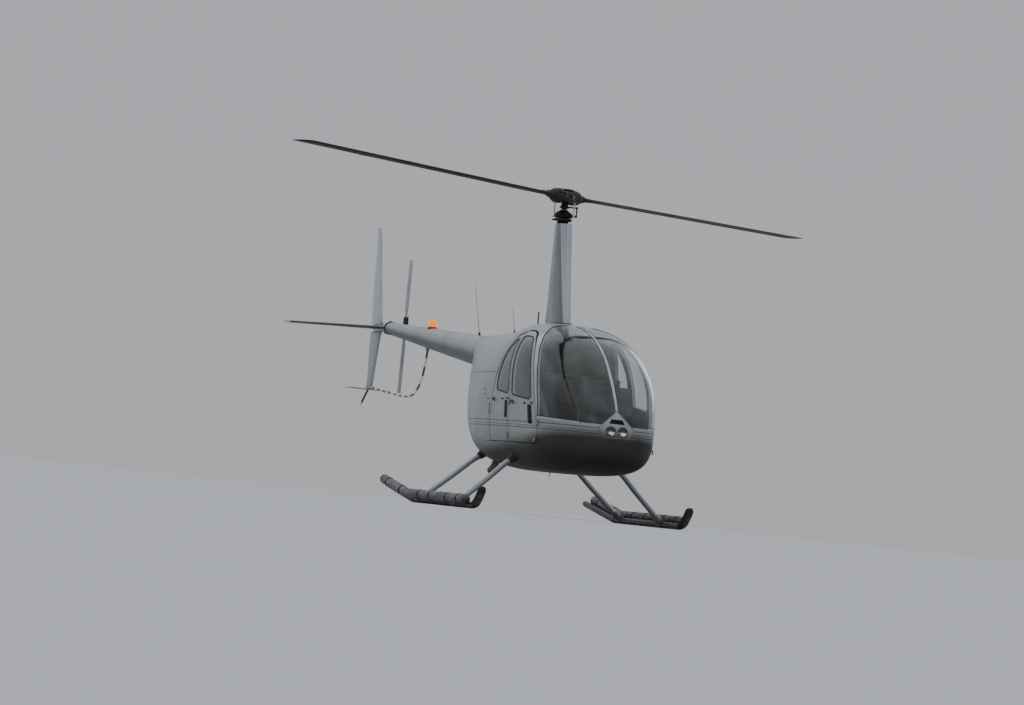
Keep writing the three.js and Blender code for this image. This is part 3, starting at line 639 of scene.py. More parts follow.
def layoutOf(x, z, keepOff=0.0):
    # A place in the flat layout from a point seen from the port side
    z = np.asarray(z, float)
    t = tAt(x)
    halfWidth, belt, tall, power = halfAt(t, z)
    v = np.clip((z - belt) / tall, -1, 1)
    u = (1 - np.abs(v) ** power) ** (1 / power)
    if keepOff:
        least = np.minimum(keepOff / halfWidth, 0.999)
        short = u < least
        u = np.where(short, least, u)
        v = np.where(short, np.sign(v) * (1 - least ** power) ** (1 / power), v)
    return np.stack([np.interp(t, sampleT, sampleS), np.arctan2(v, u) * girth], -1)


def layoutFromFront(y, z):
    # The same from a point on the port half of the nose seen from ahead
    low, high = np.zeros(len(y)), np.full(len(y), 0.5)
    for _ in range(40):
        t = (low + high) / 2
        halfWidth, belt, tall, power = halfAt(t, z)
        outside = (np.abs(y) / halfWidth) ** power + (np.abs(z - belt) / tall) ** power > 1
        low, high = np.where(outside, t, low), np.where(outside, high, t)
    halfWidth, belt, tall, _ = halfAt(high, z)
    turn = np.arctan2((z - belt) / tall, np.abs(y) / halfWidth)
    return np.stack([np.interp(high, sampleT, sampleS), turn * girth], -1)


# Outlines seen from the side, as (x, z)
def rounded(points, tight=0.02, loose=0.9):
    points = [np.array(p, float) for p in points]
    line = []
    for k, corner in enumerate(points):
        before, after = points[k - 1], points[(k + 1) % len(points)]
        u, v = corner - before, after - corner
        lengths = np.linalg.norm(u), np.linalg.norm(v)
        u, v = u / lengths[0], v / lengths[1]
        turn = math.acos(np.clip(np.dot(u, v), -1, 1))
        radius = tight if turn > 0.75 else loose
        if turn < 0.01 or radius == 0:
            line.append(corner)
            continue
        cut = min(radius * math.tan(turn / 2), 0.46 * min(lengths))
        for w in np.linspace(0, 1, max(4, int(turn / 0.1))):
            line.append(corner - (1 - w) ** 2 * u * cut + w * w * v * cut)
    return np.array(line)


def dense(line, step=0.014):
    out = []
    for a, b in zip(line, np.roll(line, -1, 0)):
        parts = max(1, int(np.ceil(np.linalg.norm(b - a) / step)))
        out += [a + (b - a) * k / parts for k in range(parts)]
    return np.array(out)


def inset(line, distance):
    line = np.array([p for k, p in enumerate(line) if np.linalg.norm(p - line[k - 1]) > 1e-5])
    x, y = line.T
    side = 1 if np.sum(x * np.roll(y, -1) - np.roll(x, -1) * y) > 0 else -1
    u, v = line - np.roll(line, 1, 0), np.roll(line, -1, 0) - line
    u, v = unit(u), unit(v)
    lean = np.stack([-u[:, 1] - v[:, 1], u[:, 0] + v[:, 0]], 1) * side
    return line + lean * (distance / np.maximum(1 + np.sum(u * v, 1), 0.3))[:, None]


def inside(points, line):
    x, y = points[:, 0][:, None], points[:, 1][:, None]
    ax, ay = line[:, 0], line[:, 1]
    bx, by = np.roll(ax, -1), np.roll(ay, -1)
    crossing = (ay > y) != (by > y)
    with np.errstate(divide="ignore", invalid="ignore"):
        at = ax + (y - ay) / (by - ay) * (bx - ax)
    return np.sum(crossing & (x < at), 1) % 2 == 1


def tidyLoop(line):
    kept = [line[0]]
    for p in line[1:]:
        if np.linalg.norm(p - kept[-1]) > 2e-4:
            kept.append(p)
    while np.linalg.norm(kept[-1] - kept[0]) < 2e-4:
        kept.pop()
    return np.array(kept)


def skinSheet(outline, holes=(), grid=None):
    # Triangles over the port half of the skin inside an outline in the flat layout, less its holes
    grid = grid or bodySet["grid"]
    loops = [tidyLoop(outline)] + [tidyLoop(h) for h in holes]
    low, high = loops[0].min(0), loops[0].max(0)
    gx, gy = np.meshgrid(np.arange(low[0] + grid / 2, high[0], grid),
                         np.arange(low[1] + grid / 2, high[1], grid))
    gx[1::2] += grid / 2
    free = np.stack([gx.ravel(), gy.ravel()], 1)
    keep = inside(free, loops[0])
    for hole in loops[1:]:
        keep &= ~inside(free, hole)
    free = free[keep]
    tree = KDTree(sum(len(loop) for loop in loops))
    for index, p in enumerate(np.vstack(loops)):
        tree.insert((*p, 0), index)
    tree.balance()
    free = [p for p in free if tree.find((*p, 0))[2] > grid * 0.45]
    points, edges = [], []
    for loop in loops:
        start = len(points)
        points += [tuple(p) for p in loop]
        edges += [(start + k, start + (k + 1) % len(loop)) for k in range(len(loop))]
    points += [tuple(p) for p in free]
    made = delaunay_2d_cdt([Vector(p) for p in points], edges, [], 0, 1e-6)
    places, triangles = np.array([tuple(p) for p in made[0]]), np.array(made[2])
    middles = places[triangles].mean(1)
    keep = inside(middles, loops[0])
    for hole in loops[1:]:
        keep &= ~inside(middles, hole)
    return places, triangles[keep]


def shellOf(places, triangles, outer, inner, whole=False, lift=None):
    # A closed shell between two depths; faces are marked 0 outside and round the edge, 1 inside
    top, normals = (lift or onSkin)(places, outer)
    bottom = top - normals * (inner - outer)
    if whole:
        centre = np.abs(top[:, 1]) < 1e-5
        top[centre, 1] = bottom[centre, 1] = 0
        count = len(top)
        twin = np.where(centre, np.arange(count), np.arange(count) + count)
        triangles = np.vstack([triangles, twin[triangles][:, ::-1]])
        top = np.vstack([top, top * (1, -1, 1)])
        bottom = np.vstack([bottom, bottom * (1, -1, 1)])
    a, b, c = (top[triangles[:, k]] for k in range(3))
    area = np.linalg.norm(np.cross(b - a, c - a), axis=1)
    triangles = triangles[area > 1e-9]
    outward = np.vstack([normals, normals * (1, -1, 1)]) if whole else normals
    a, b, c = (top[triangles[:, k]] for k in range(3))
    wrong = np.sum(np.cross(b - a, c - a) * outward[triangles[:, 0]], 1) < 0
    triangles[wrong] = triangles[wrong][:, ::-1]
    edges = dict.fromkeys((f[k], f[(k + 1) % 3]) for f in triangles for k in range(3))
    rim = [(i, j) for i, j in edges if (j, i) not in edges]
    count = len(top)
    faces = [list(f) for f in triangles] + [[j, i, i + count, j + count] for i, j in rim]
    marks = [0] * len(faces) + [1] * len(triangles)
    faces += [[f[0] + count, f[2] + count, f[1] + count] for f in triangles]
    points = np.vstack([top, bottom])
    kept = sorted({i for f in faces for i in f})
    renumber = {old: new for new, old in enumerate(kept)}
    return (points[kept], [[renumber[i] for i in f] for f in faces]), marks


def panel(outline, outer, inner, holes=(), grid=None, whole=False, lift=None):
    places, triangles = skinSheet(outline, holes, grid)
    return shellOf(places, triangles, outer, inner, whole, lift)


# Seams of the cabin, as (x, z) seen from the side
seams = {
    "belt": (1.62, 0.964),
    "pillarFront": ((1.6, 1.1), (1.51, 1.33), (1.385, 1.53), (1.21, 1.7), (1.04, 1.81)),
    "roofFront": ((0.9, 1.868), (0.74, 1.935), (0.7, 2.1)),
    "doorFront": ((1.645, 0.765), (1.65, 0.83), (1.59, 0.97), (1.545, 1.12), (1.45, 1.32), (1.325, 1.51),
                  (1.16, 1.668), (1.0, 1.765)),
    "doorCorner": (1.625, 0.715),
    "doorRear": ((0.6, 1.8146), (0.47, 1.76), (0.37, 1.6), (0.3, 1.38), (0.27, 1.2)),
    "postFront": 0.908,
    "postRear": 0.868,
    "postBend": 1.12,      # height where the post between the doors begins to lean back
    "postLean": 0.36,
    "sill": 0.69,
    "noseBase": 1.575,
    "cowlSeam": 1.38,
    "far": 2.6,
    "low": 0.3,
    "high": 2.2,
    "aft": -2.3,
}
q = seams


def onPost(edge, z):
    return q[edge] - q["postLean"] * max(z - q["postBend"], 0), z


outlines = {
    "doorFront": [(q["postFront"], q["sill"]), (q["noseBase"], q["sill"]), q["doorCorner"],
                  *q["doorFront"][:-1], (0.994, 1.755), (0.928, 1.789), (0.825, 1.811), (0.755, 1.812),
                  onPost("postFront", 1.805), (q["postFront"], q["postBend"])],
    "doorRear": [(0.276, q["sill"]), (q["postRear"], q["sill"]), (q["postRear"], q["postBend"]),
                 onPost("postRear", 1.798), (0.484, 1.744), (0.388, 1.592), (0.322, 1.374), (0.276, 1.2)],
    "post": [(q["postRear"], q["sill"]), (q["postFront"], q["sill"]), (q["postFront"], q["postBend"]),
             onPost("postFront", 1.82), onPost("postRear", 1.816), (q["postRear"], q["postBend"])],
    "pillar": [q["belt"], *q["pillarFront"], (1.0, 1.765), *q["doorFront"][2:-1][::-1]],
    "windshield": [q["belt"], *q["pillarFront"], *q["roofFront"], (q["far"], 2.1), (q["far"], 0.935),
                   (2.2, 0.94)],
    "nose": [(q["noseBase"], q["sill"]), (q["noseBase"], q["low"]), (q["far"], q["low"]),
             (q["far"], 0.935), (2.2, 0.94), q["belt"], *q["doorFront"][:3][::-1], q["doorCorner"]],
    "belly": [(-0.06, q["low"]), (q["noseBase"], q["low"]), (q["noseBase"], q["sill"]),
              (0.27, q["sill"]), (-0.06, q["sill"])],
    "roof": [(1.0, 1.765), (1.04, 1.81), *q["roofFront"], (0.47, 2.1), (0.47, 1.76), (0.6, 1.8146),
             onPost("postRear", 1.816), onPost("postFront", 1.82), (0.757, 1.82), (0.822, 1.8155),
             (0.93, 1.793)],
    "cowl": [(-0.06, q["low"]), (-0.06, q["sill"]), (0.27, q["sill"]), (0.27, 1.2), (0.3, q["cowlSeam"]),
             (q["aft"], q["cowlSeam"]), (q["aft"], q["low"])],
    "upper": [(0.3, q["cowlSeam"]), (0.37, 1.6), (0.47, 1.76), (0.47, q["high"]), (q["aft"], q["high"]),
              (q["aft"], q["cowlSeam"])],
    "windowFront": [(0.928, 1.163), (1.408, 1.124), (1.44, 1.152), (1.372, 1.312), (1.288, 1.455),
                    (1.17, 1.588), (1.022, 1.705), (0.93, 1.745), (0.745, 1.752), (0.716, 1.74)],
    "windowRear": [(0.432, 1.204), (0.814, 1.172), (0.622, 1.704), (0.596, 1.724), (0.552, 1.716),
                   (0.486, 1.645), (0.43, 1.538), (0.396, 1.4), (0.394, 1.25)],
    "ventFront": [(1.44, 0.892), (1.524, 0.884), (1.468, 1.061), (1.384, 1.069)],
    "ventRear": [(0.756, 0.938), (0.838, 0.931), (0.806, 1.094), (0.724, 1.101)],
}
corners = {"windowFront": 0.05, "windowRear": 0.04, "ventFront": 0.012, "ventRear": 0.012, "doorFront": 0.03,
           "doorRear": 0.03}
panelGap = 0.0015
doorGap = 0.008


def sideLoop(name, gap, keepOff=0.0):
    line = inset(rounded(outlines[name], corners.get(name, 0.0)), gap)
    return layoutOf(*dense(line).T, keepOff)


lampSet = {
    # (y, z) of the port half seen from ahead
    "housing": ((0, 1.085), (0.19, 0.905), (0.128, 0.812), (0, 0.812)),
    "slot": ((0, 0.952), (0.084, 0.952), (0.056, 0.998), (0, 0.998)),
    "spread": 0.06,
    "height": 0.88,
    "radius": 0.05,
    "sunk": 0.006,         # how far the rim lies behind the housing
    "deep": 0.027,         # how deep each lamp's reflector is
    "post": 0.0147,        # half width of the post between the windshields
    "mesh": 0.0075,        # from bar to bar of the intake behind the slot
}


def frontLoop(shape, grow=0.0):
    shape = np.array(shape, float)
    line = shape + grow * unit(shape - shape.mean(0))
    line[:, 0] = np.where(np.abs(shape[:, 0]) < 1e-9, 0, line[:, 0])
    return layoutFromFront(*dense(line, 0.006).T)


def lampRegion(grow):
    # The housing's outline in the flat layout, closed along the centre line by way of the tip
    loop = frontLoop(lampSet["housing"], grow)
    half = math.pi / 2 * girth
    onCentre = np.abs(np.abs(loop[:, 1]) - half) < 1e-4
    top, low = (max(loop[onCentre & (sign * loop[:, 1] > 0)], key=lambda p: p[0]) for sign in (1, -1))
    tip = [(0, v) for v in np.linspace(-half, half, 40)]
    return np.array([top, *loop[~onCentre], low, *tip])


def bodyPanels():
    b = bodySet
    lampHole = lampRegion(0.0008)
    for name, node, materials in (
        ("nose", "nose_shell", [bodyPaint, cabinTrim]),
        ("belly", "belly_panel", [bodyPaint, cabinTrim]),
        ("roof", "roof_panel", [plainPaint, headliner]),
        ("upper", "upper_cowling", [plainPaint, cabinTrim]),
    ):
        holes = [lampHole] if name == "nose" else []
        part, marks = panel(sideLoop(name, panelGap), 0, b["wall"], holes, whole=True)
        makePiece(node.replace("_", "-"), part, materials, [node], marks=marks, bevel=0.0015)
    for side, sign in bothHands:
        for name, node, materials in (
            ("pillar", "pillar_front", [postPaint, cabinTrim]),
            ("post", "pillar_middle", [bodyPaint, cabinTrim]),
            ("cowl", "cowling", [bodyPaint, cabinTrim]),
        ):
            part, marks = panel(sideLoop(name, panelGap), 0, b["wall"])
            makePiece(f"{node}-{side}".replace("_", "-"), onSide(part, sign), materials, [f"{node}_{side}"],
                      marks=marks, bevel=0.0015)
        part, _ = panel(sideLoop("windshield", 0.002, keepOff=0.015), 0.001, 0.005, [lampHole])
        makePiece(f"windshield-{side}", onSide(part, sign), windowClear, [f"windshield_{side}"])
        for place in ("front", "rear"):
            title = place.capitalize()
            holes = [sideLoop(f"{hole}{title}", 0) for hole in ("window", "vent")]
            part, marks = panel(sideLoop(f"door{title}", doorGap), 0, b["wall"], holes)
            makePiece(f"door-{place}-{side}", onSide(part, sign), [bodyPaint, cabinTrim],
                      [f"door_{place}_{side}"], body=f"door_{place}_{side}", marks=marks, bevel=0.0015)
            part, _ = panel(sideLoop(f"window{title}", 0.001), 0.0025, 0.0065)
            makePiece(f"window-{place}-{side}", onSide(part, sign), windowClear, [f"window_{place}_{side}"],
                      body=f"door_{place}_{side}")


bodyPanels()
print("body panels are made")


# Strips and fasteners that follow the skin
def between(points, step=0.012):
    # An open line through corners, with points at a step or closer
    points = np.asarray(points, float)
    out = [points[:1]]
    for a, b in zip(points[:-1], points[1:]):
        parts = max(1, int(np.ceil(np.linalg.norm(b - a) / step)))
        out.append(a + (b - a) * (np.arange(1, parts + 1) / parts)[:, None])
    return np.vstack(out)


def seamLine(points, step=0.012, keepOff=0.0):
    return layoutOf(*between(points, step).T, keepOff)


def bead(places, width, height, sunk=0.0012, closed=False, lift=onSkin):
    # A raised strip with a rounded top along a line of places
    points, normals = lift(np.asarray(places, float))
    ahead = np.roll(points, -1, 0) - np.roll(points, 1, 0)
    if not closed:
        ahead[0], ahead[-1] = points[1] - points[0], points[-1] - points[-2]
    side = unit(np.cross(normals, unit(ahead)))
    profile = [(-0.5, -sunk), (-0.5, 0.4 * height), (-0.32, 0.85 * height), (0, height),
               (0.32, 0.85 * height), (0.5, 0.4 * height), (0.5, -sunk)]
    rings = np.stack([points + side * (u * width) + normals * v for u, v in profile], 1)
    return loft(list(rings), looped=closed)


def evenly(places, step, lift=onSkin, closed=False):
    # Places at an even distance along a line, and the points and normals there
    places = np.vstack([places, places[:1]]) if closed else np.asarray(places)
    points = lift(places)[0]
    reach = reachAlong(points)
    wanted = np.arange(step / 2, reach[-1], step)
    return lift(np.stack([np.interp(wanted, reach, places[:, k]) for k in range(2)], 1))


def studs(points, normals, radius, height, sides=8):
    # Low domes, such as rivet and screw heads
    vertices, faces = [], []
    around = fullTurn(sides)
    for point, normal in zip(points, normals):
        side, other = frameAlong(normal)
        normal, start = unit(np.asarray(normal, float)), len(vertices)
        for r, h in ((1.0, -0.4), (0.94, 0.35), (0.55, 0.85)):
            for a in around:
                vertices.append(point + radius * r * (math.cos(a) * side + math.sin(a) * other)
                                + height * h * normal)
        vertices.append(point + height * normal)
        for ring in range(2):
            for k in range(sides):
                a, b = start + ring * sides + k, start + ring * sides + (k + 1) % sides
                faces.append([a, b, b + sides, a + sides])
        last = start + 2 * sides
        faces += [[last + k, last + (k + 1) % sides, start + 3 * sides] for k in range(sides)]
        faces.append([start + k for k in range(sides)][::-1])
    return np.array(vertices), faces


def washer(origin, axis, inner, outer, low, high, sides=24):
    # A ring with a square section round an axis
    side, other = frameAlong(axis)
    axis = unit(np.asarray(axis, float))
    bevel = min(0.2 * (outer - inner), 0.2 * (high - low), 0.002)
    profile = [(inner, low), (outer - bevel, low), (outer, low + bevel), (outer, high - bevel),
               (outer - bevel, high), (inner, high)]
    rings = []
    for a in fullTurn(sides):
        away = math.cos(a) * side + math.sin(a) * other
        rings.append(np.array([origin + h * axis + r * away for r, h in profile]))
    return loft(rings, looped=True)


def flatAt(z):
    # A lift for plates that lie level, with their outline as (x, y)
    def lift(places, depth=0.0):
        places = np.asarray(places, float)
        up = np.tile((0.0, 0, 1), (len(places), 1))
        return np.column_stack([places, np.full(len(places), z - depth)]), up
    return lift


def circle(centre, radius, count=32):
    around = fullTurn(count)
    return np.add(centre, radius * np.stack([np.cos(around), np.sin(around)], 1))


sealSet = {
    "width": 0.013,
    "height": 0.0035,
    "belt": ((2.196, 0.9405), (1.95, 0.952)),     # along the windshield's lower edge
    "roofEnd": (0.842, 1.8925),                   # where the seals meet behind the centre post
    "trim": 0.016,
    "trimHeight": 0.003,
    "screw": 0.0042,
    "screwGap": 0.055,
    "fastener": 0.0048,
    "fasteners": (
        # a line of (x, z) points, distance from one fastener to the next
        (((0.285, 1.36), (-1.55, 1.36)), 0.12),
        (((0.315, 1.4), (-1.5, 1.4)), 0.12),
        (((0.25, 1.36), (0.25, 0.68), (-0.04, 0.67)), 0.1),
        (((-0.08, 0.64), (-0.08, 0.47)), 0.07),
        (((0.0, 0.635), (1.55, 0.635)), 0.11),
        (((1.59, 0.64), (1.59, 0.46)), 0.07),
        (((0.49, 1.8), (0.49, 1.91)), 0.05),
    ),
    "recess": 0.022,                              # depth of the vents in the doors
    "louvre": 0.024,                              # from one louvre to the next
    "handles": {"front": (0.962, 1.09), "rear": (0.345, 1.11)},
    "lever": (0.088, -0.02, 0.015),               # how far a handle's lever reaches back, down and out
}


def dressSkin():
    s = sealSet
    # Rubber round the windshields: along the front pillar, the roof and the centre post
    belt = [*s["belt"], seams["belt"]]
    pillar = [seams["belt"], *seams["pillarFront"], *seams["roofFront"][:2]]
    roofEnd = seamLine([seams["roofFront"][0], s["roofEnd"]], keepOff=0.016)
    pillarPlaces = np.vstack([seamLine(pillar[:-1], keepOff=0.017), roofEnd])
    seal = bead(pillarPlaces, s["width"], s["height"])
    beltLine = seamLine(belt)
    seal = join(seal, bead(beltLine + (0, 0.008), 0.008, 0.0026))
    makePiece("windshield-seals", bothSides(seal), rubberSeal)
    trim = bead(beltLine - (0, 0.011), s["trim"], s["trimHeight"])
    makePiece("windshield-lower-trim", bothSides(trim), postPaint)
    points, normals = evenly(beltLine - (0, 0.011), s["screwGap"])
    screws = studs(points + normals * s["trimHeight"], normals, s["screw"], 0.0018)
    makePiece("windshield-trim-screws", bothSides(screws), darkSteel)
    # Fasteners of the cowlings, the belly and the roof
    rows = [studs(*evenly(seamLine(line), step), s["fastener"], 0.0012) for line, step in s["fasteners"]]
    makePiece("panel-screws", bothSides(join(*rows)), darkSteel)
    # Dark seals on the frame behind the edges of each door, which close its gap
    for place in ("front", "rear"):
        outer, inner = (sideLoop(f"door{place.capitalize()}", gap) for gap in (-0.013, 0.026))
        part, _ = panel(outer, bodySet["wall"] + 0.0012, bodySet["wall"] + 0.006, [inner])
        makePiece(f"door-seals-{place}", bothSides(part), rubberSeal)


def dressDoors():
    s = sealSet
    for side, sign in bothHands:
        for place in ("front", "rear"):
            body = f"door_{place}_{side}"
            title = place.capitalize()
            seal = bead(sideLoop(f"window{title}", -0.004), s["width"], s["height"], closed=True)
            vent = outlines[f"vent{title}"]
            z0, z1 = vent[1][1], vent[2][1]
            rear, ahead = ([np.interp(z, (vent[a][1], vent[b][1]), (vent[a][0], vent[b][0]))
                            for z in (z0, z1)] for a, b in ((0, 3), (1, 2)))
            ring = bead(sideLoop(f"vent{title}", -0.002), 0.007, 0.002, closed=True)
            makePiece(f"window-seal-{place}-{side}", onSide(join(seal, ring), sign), rubberSeal, body=body)
            # The recess behind the vent, its louvres, and the knobs of the latch beside it
            back, _ = panel(sideLoop(f"vent{title}", -0.006), s["recess"], s["recess"] + 0.004)
            louvres = []
            for z in np.arange(z0 + 0.022, z1 - 0.006, s["louvre"]):
                x0, x1 = (np.interp(z, (z0, z1), ends) for ends in (rear, ahead))
                front = seamLine([(x0 + 0.006, z), (x1 - 0.006, z)], 0.02)
                top, normals = onSkin(front, 0.004)
                low = onSkin(front - (0, 0.01), 0.017)[0]
                louvres.append(loft([np.array([a, b, b - n * 0.0015, a - n * 0.0015])
                                     for a, b, n in zip(top, low, normals)]))
            makePiece(f"vent-{place}-{side}", onSide(join(back, *louvres), sign), rubberSeal, body=body)
            knobs = []
            for x, z in ((rear[1] - 0.07, vent[3][1] + 0.012), (ahead[1] + 0.012, vent[2][1] + 0.026)):
                point, normal = onSkin(layoutOf([x], [z]))
                knobs.append(turned([(0.01, -0.001), (0.01, 0.004), (0.006, 0.006), (0.006, 0.01),
                                     (0.0085, 0.012), (0.0075, 0.016)], point[0], normal[0], 16))
            makePiece(f"window-knobs-{place}-{side}", onSide(join(*knobs), sign), gripRubber, body=body)
            # Handle: a lever on a round base at the edge that opens
            x, z = s["handles"][place]
            reach, drop, out = s["lever"]
            base, normal = onSkin(layoutOf([x], [z]))
            end = onSkin(layoutOf([x + reach], [z + drop]))[0][0] + normal[0] * out
            start = base[0] + normal[0] * 0.016
            plate = turned([(0.019, -0.001), (0.019, 0.003), (0.016, 0.005), (0.009, 0.006), (0.009, 0.017),
                            (0.007, 0.021)], base[0], normal[0], 24)
            lever = pipe([start, (start + end) / 2 + normal[0] * 0.002, end], [0.0075, 0.0068, 0.0058], 12)
            makePiece(f"door-handle-{place}-{side}", onSide(join(plate, lever), sign), rotorBlack, body=body,
                      slot="console_black")


hingeSet = {
    "pin": 0.0035, "knuckle": 0.008, "bore": 0.0042, "half": 0.015, "up": 0.02, "arm": 0.004,
    "front": {"x": 1.662, "y": 0.6, "lean": -0.06, "heights": (0.73, 0.9), "edges": (1.632, 1.61)},
    "rear": {"x": 0.888, "y": 0.655, "lean": 0.03, "heights": (0.76, 1.085), "edges": (0.86, 0.86)},
}


def makeHinges():
    h = hingeSet

    def line(hinge, z):
        return np.array([hinge["x"] + mastX, hinge["y"] + hinge["lean"] * (z - 1.0), z])

    def inSkin(x, z, inward):
        point = onSkin(layoutOf([x], [z]))[0][0]
        return point - (0, inward, 0)

    for place in ("front", "rear"):
        hinge = h[place]
        fixedParts, doorParts = [], []
        for z, edge in zip(hinge["heights"], hinge["edges"]):
            fixedParts.append(rod(line(hinge, z - 0.022), line(hinge, z + 0.022), h["pin"], sides=12))
            for up in (-h["up"], h["up"]):
                root = inSkin(hinge["x"] + 0.004, z + up, 0.012)
                fixedParts.append(rod(line(hinge, z + up), root, h["arm"], h["arm"] + 0.001, 12))
                fixedParts.append(studs([line(hinge, z + up * 1.2)], [(0, 0, math.copysign(1, up))], 0.0055,
                                        0.003, 12))
            bend = inSkin(edge - 0.024, z, -0.004)
            axis = line(hinge, z + 0.01) - line(hinge, z)
            doorParts.append(washer(line(hinge, z), axis, h["bore"], h["knuckle"], -h["half"], h["half"]))
            reach = bend - line(hinge, z)
            near = line(hinge, z) + reach / np.linalg.norm(reach) * 0.0065
            doorParts.append(rod(near, bend, h["arm"], sides=12))
            doorParts.append(rod(bend + (0, 0.003, 0), inSkin(edge - 0.028, z, 0.012), h["arm"] + 0.003,
                                 sides=12))
        for side, sign in bothHands:
            makePiece(f"hinge-pins-{place}-{side}", onSide(join(*fixedParts), sign), darkSteel)
            makePiece(f"hinge-knuckles-{place}-{side}", onSide(join(*doorParts), sign), plainPaint,
                      body=f"door_{place}_{side}")


def onFront(places, depth=0.0):
    # Points on the nose from (y, z) seen from ahead
    places = np.asarray(places, float)
    points, normals = onSkin(layoutFromFront(np.abs(places[:, 0]), places[:, 1]))
    flip = np.where(places[:, :1] < 0, -1.0, 1.0)
    points[:, 1:2] *= flip
    normals[:, 1:2] *= flip
    middle = np.abs(places[:, 0]) < 1e-9
    points[middle, 1] = normals[middle, 1] = 0
    normals = unit(normals)
    return points - normals * depth, normals


def sweptRound(centre, profile, angles):
    # Sections round the fore-and-aft line through a centre, from (radius, x) pairs
    return [np.array([centre + (x, r * math.cos(a), r * math.sin(a)) for r, x in profile]) for a in angles]


def makeLampHousing():
    l = lampSet
    half = [p for p in l["housing"] if p[0] > 0]
    outline = [l["housing"][0], *half, *[(-y, z) for y, z in half[::-1]]]
    outline = dense(np.array(outline, float)[::-1], 0.006)
    upper = [(y, z) for y, z in l["slot"] if y > 0]
    slot = dense(rounded([*upper, *[(-y, z) for y, z in upper[::-1]]], 0.01), 0.006)
    bores = [circle((s * l["spread"], l["height"]), l["radius"], 40) for s in (-1, 1)]
    part, marks = panel(outline, 0, bodySet["wall"], [slot, *bores], 0.014, lift=onFront)
    makePiece("lamp-housing", part, [housingPaint, cabinTrim], ["lamp_housing"], marks=marks, bevel=0.0012)
    rim = bead(dense(inset(outline, 0.004), 0.006), 0.006, 0.002, closed=True, lift=onFront)
    screws = studs(*evenly(inset(outline, 0.013), 0.048, onFront, True), 0.0036, 0.0012)
    makePiece("lamp-housing-edge", join(rim, screws), darkSteel)
    # Intake behind the slot, with a mesh of bars
    low, high = slot.min(0), slot.max(0)
    front = onFront([(0, (low[1] + high[1]) / 2)])[0][0][0]
    box = block((front - 0.075, low[0] - 0.012, low[1] - 0.012),
                (front - 0.034, high[0] + 0.012, high[1] + 0.012))
    bars = [rod((front - 0.02, y, low[1] - 0.006), (front - 0.024, y, high[1] + 0.006), 0.0009, sides=6)
            for y in np.arange(low[0], high[0], l["mesh"])]
    makePiece("nose-intake", join(box, *bars), rubberSeal)
    shells, glasses, bulbs, bezels = [], [], [], []
    for s in (-1, 1):
        y = s * l["spread"]
        rimX = onFront([(y, l["height"])])[0][0][0] - l["sunk"]
        r, deep, around = l["radius"] - 0.0006, l["deep"], fullTurn(40)
        centre = np.array((rimX, y, l["height"]))
        bowl = [(r * math.sqrt(k / 12), -deep * (1 - k / 12)) for k in range(13)]
        back = [(a + 0.0012, h - 0.0015) for a, h in bowl[::-1]]
        profile = [(max(a, 0.002), h) for a, h in bowl] + back
        shells.append(loft(sweptRound(centre, profile, around), looped=True))
        lens = [(r - 0.0004, -0.003), (r - 0.0004, -0.0005), (0.75 * r, 0.0012), (0.4 * r, 0.002),
                (0.0008, 0.0024), (0.0008, -0.0006), (0.5 * r, -0.0014)]
        glasses.append(loft(sweptRound(centre, lens, around), looped=True))
        bulbs.append(turned([(0.004, 0), (0.0065, 0.003), (0.007, 0.01), (0.005, 0.015), (0.0015, 0.0165)],
                            centre - (deep - 0.001, 0, 0), (1, 0, 0), 20))
        ring = [(r - 0.0045, 0.001), (r - 0.003, 0.0075), (r + 0.001, 0.0085), (r + 0.0035, 0.005),
                (r + 0.0035, -0.002), (r - 0.0045, -0.002)]
        bezels.append(loft(sweptRound(centre + (0.004, 0, 0), ring, around), looped=True))
        # A dark hood over the upper half of each lamp: a dark part that stands in for the shade at the top
        # of the recess
        shadeHood = [(0.0455, 0.0015), (0.046, 0.012), (0.044, 0.0125), (0.043, 0.0015)]
        bezels.append(loft(sweptRound(centre + (0.002, 0, 0), shadeHood, np.radians(np.linspace(12, 168, 30)))))
    makePiece("landing-lamp-bezels", join(*bezels), darkSteel)
    makePiece("landing-lamps", join(*shells), reflector, ["landing_lamps"])
    makePiece("landing-lamp-glass", join(*glasses), lampGlass)
    makePiece("landing-lamp-bulbs", join(*bulbs), bareSteel, slot="lamp_chrome")


def makeCentrePost():
    l = lampSet
    half = l["post"]
    slope = (l["housing"][0][1] - l["housing"][1][1]) / l["housing"][1][0]
    apex = l["housing"][0][1] + 0.0006
    start = layoutFromFront(np.array([half]), np.array([apex - half * slope]))[0]
    middle = layoutFromFront(np.array([1e-6]), np.array([apex]))[0]
    top = math.pi / 2 * girth
    ts = np.linspace(np.interp(start[0], sampleS, sampleT), tAt(0.842), 120)[1:]
    data = sectionAt(ts)
    y = np.minimum(half / data[:, 1], 0.999)
    turn = np.arctan2((1 - y ** data[:, 5]) ** (1 / data[:, 5]), y)
    edge = np.stack([np.interp(ts, sampleT, sampleS), turn * girth], 1)
    centre = [(s, top) for s in np.linspace(middle[0], edge[-1, 0], 100)]
    outline = np.vstack([[start], edge, centre[::-1]])
    part, marks = panel(outline, 0, bodySet["wall"], grid=0.012, whole=True)
    makePiece("windshield-post", part, [postPaint, cabinTrim], ["windshield_post"], marks=marks,
              bevel=0.0015)
    seal = bead(np.vstack([[start], edge]) - (0, 0.004), 0.008, 0.0026)
    makePiece("centre-post-seals", bothSides(seal), rubberSeal)


makeLampHousing()
makeCentrePost()
dressSkin()
dressDoors()
makeHinges()
print("skin is dressed")


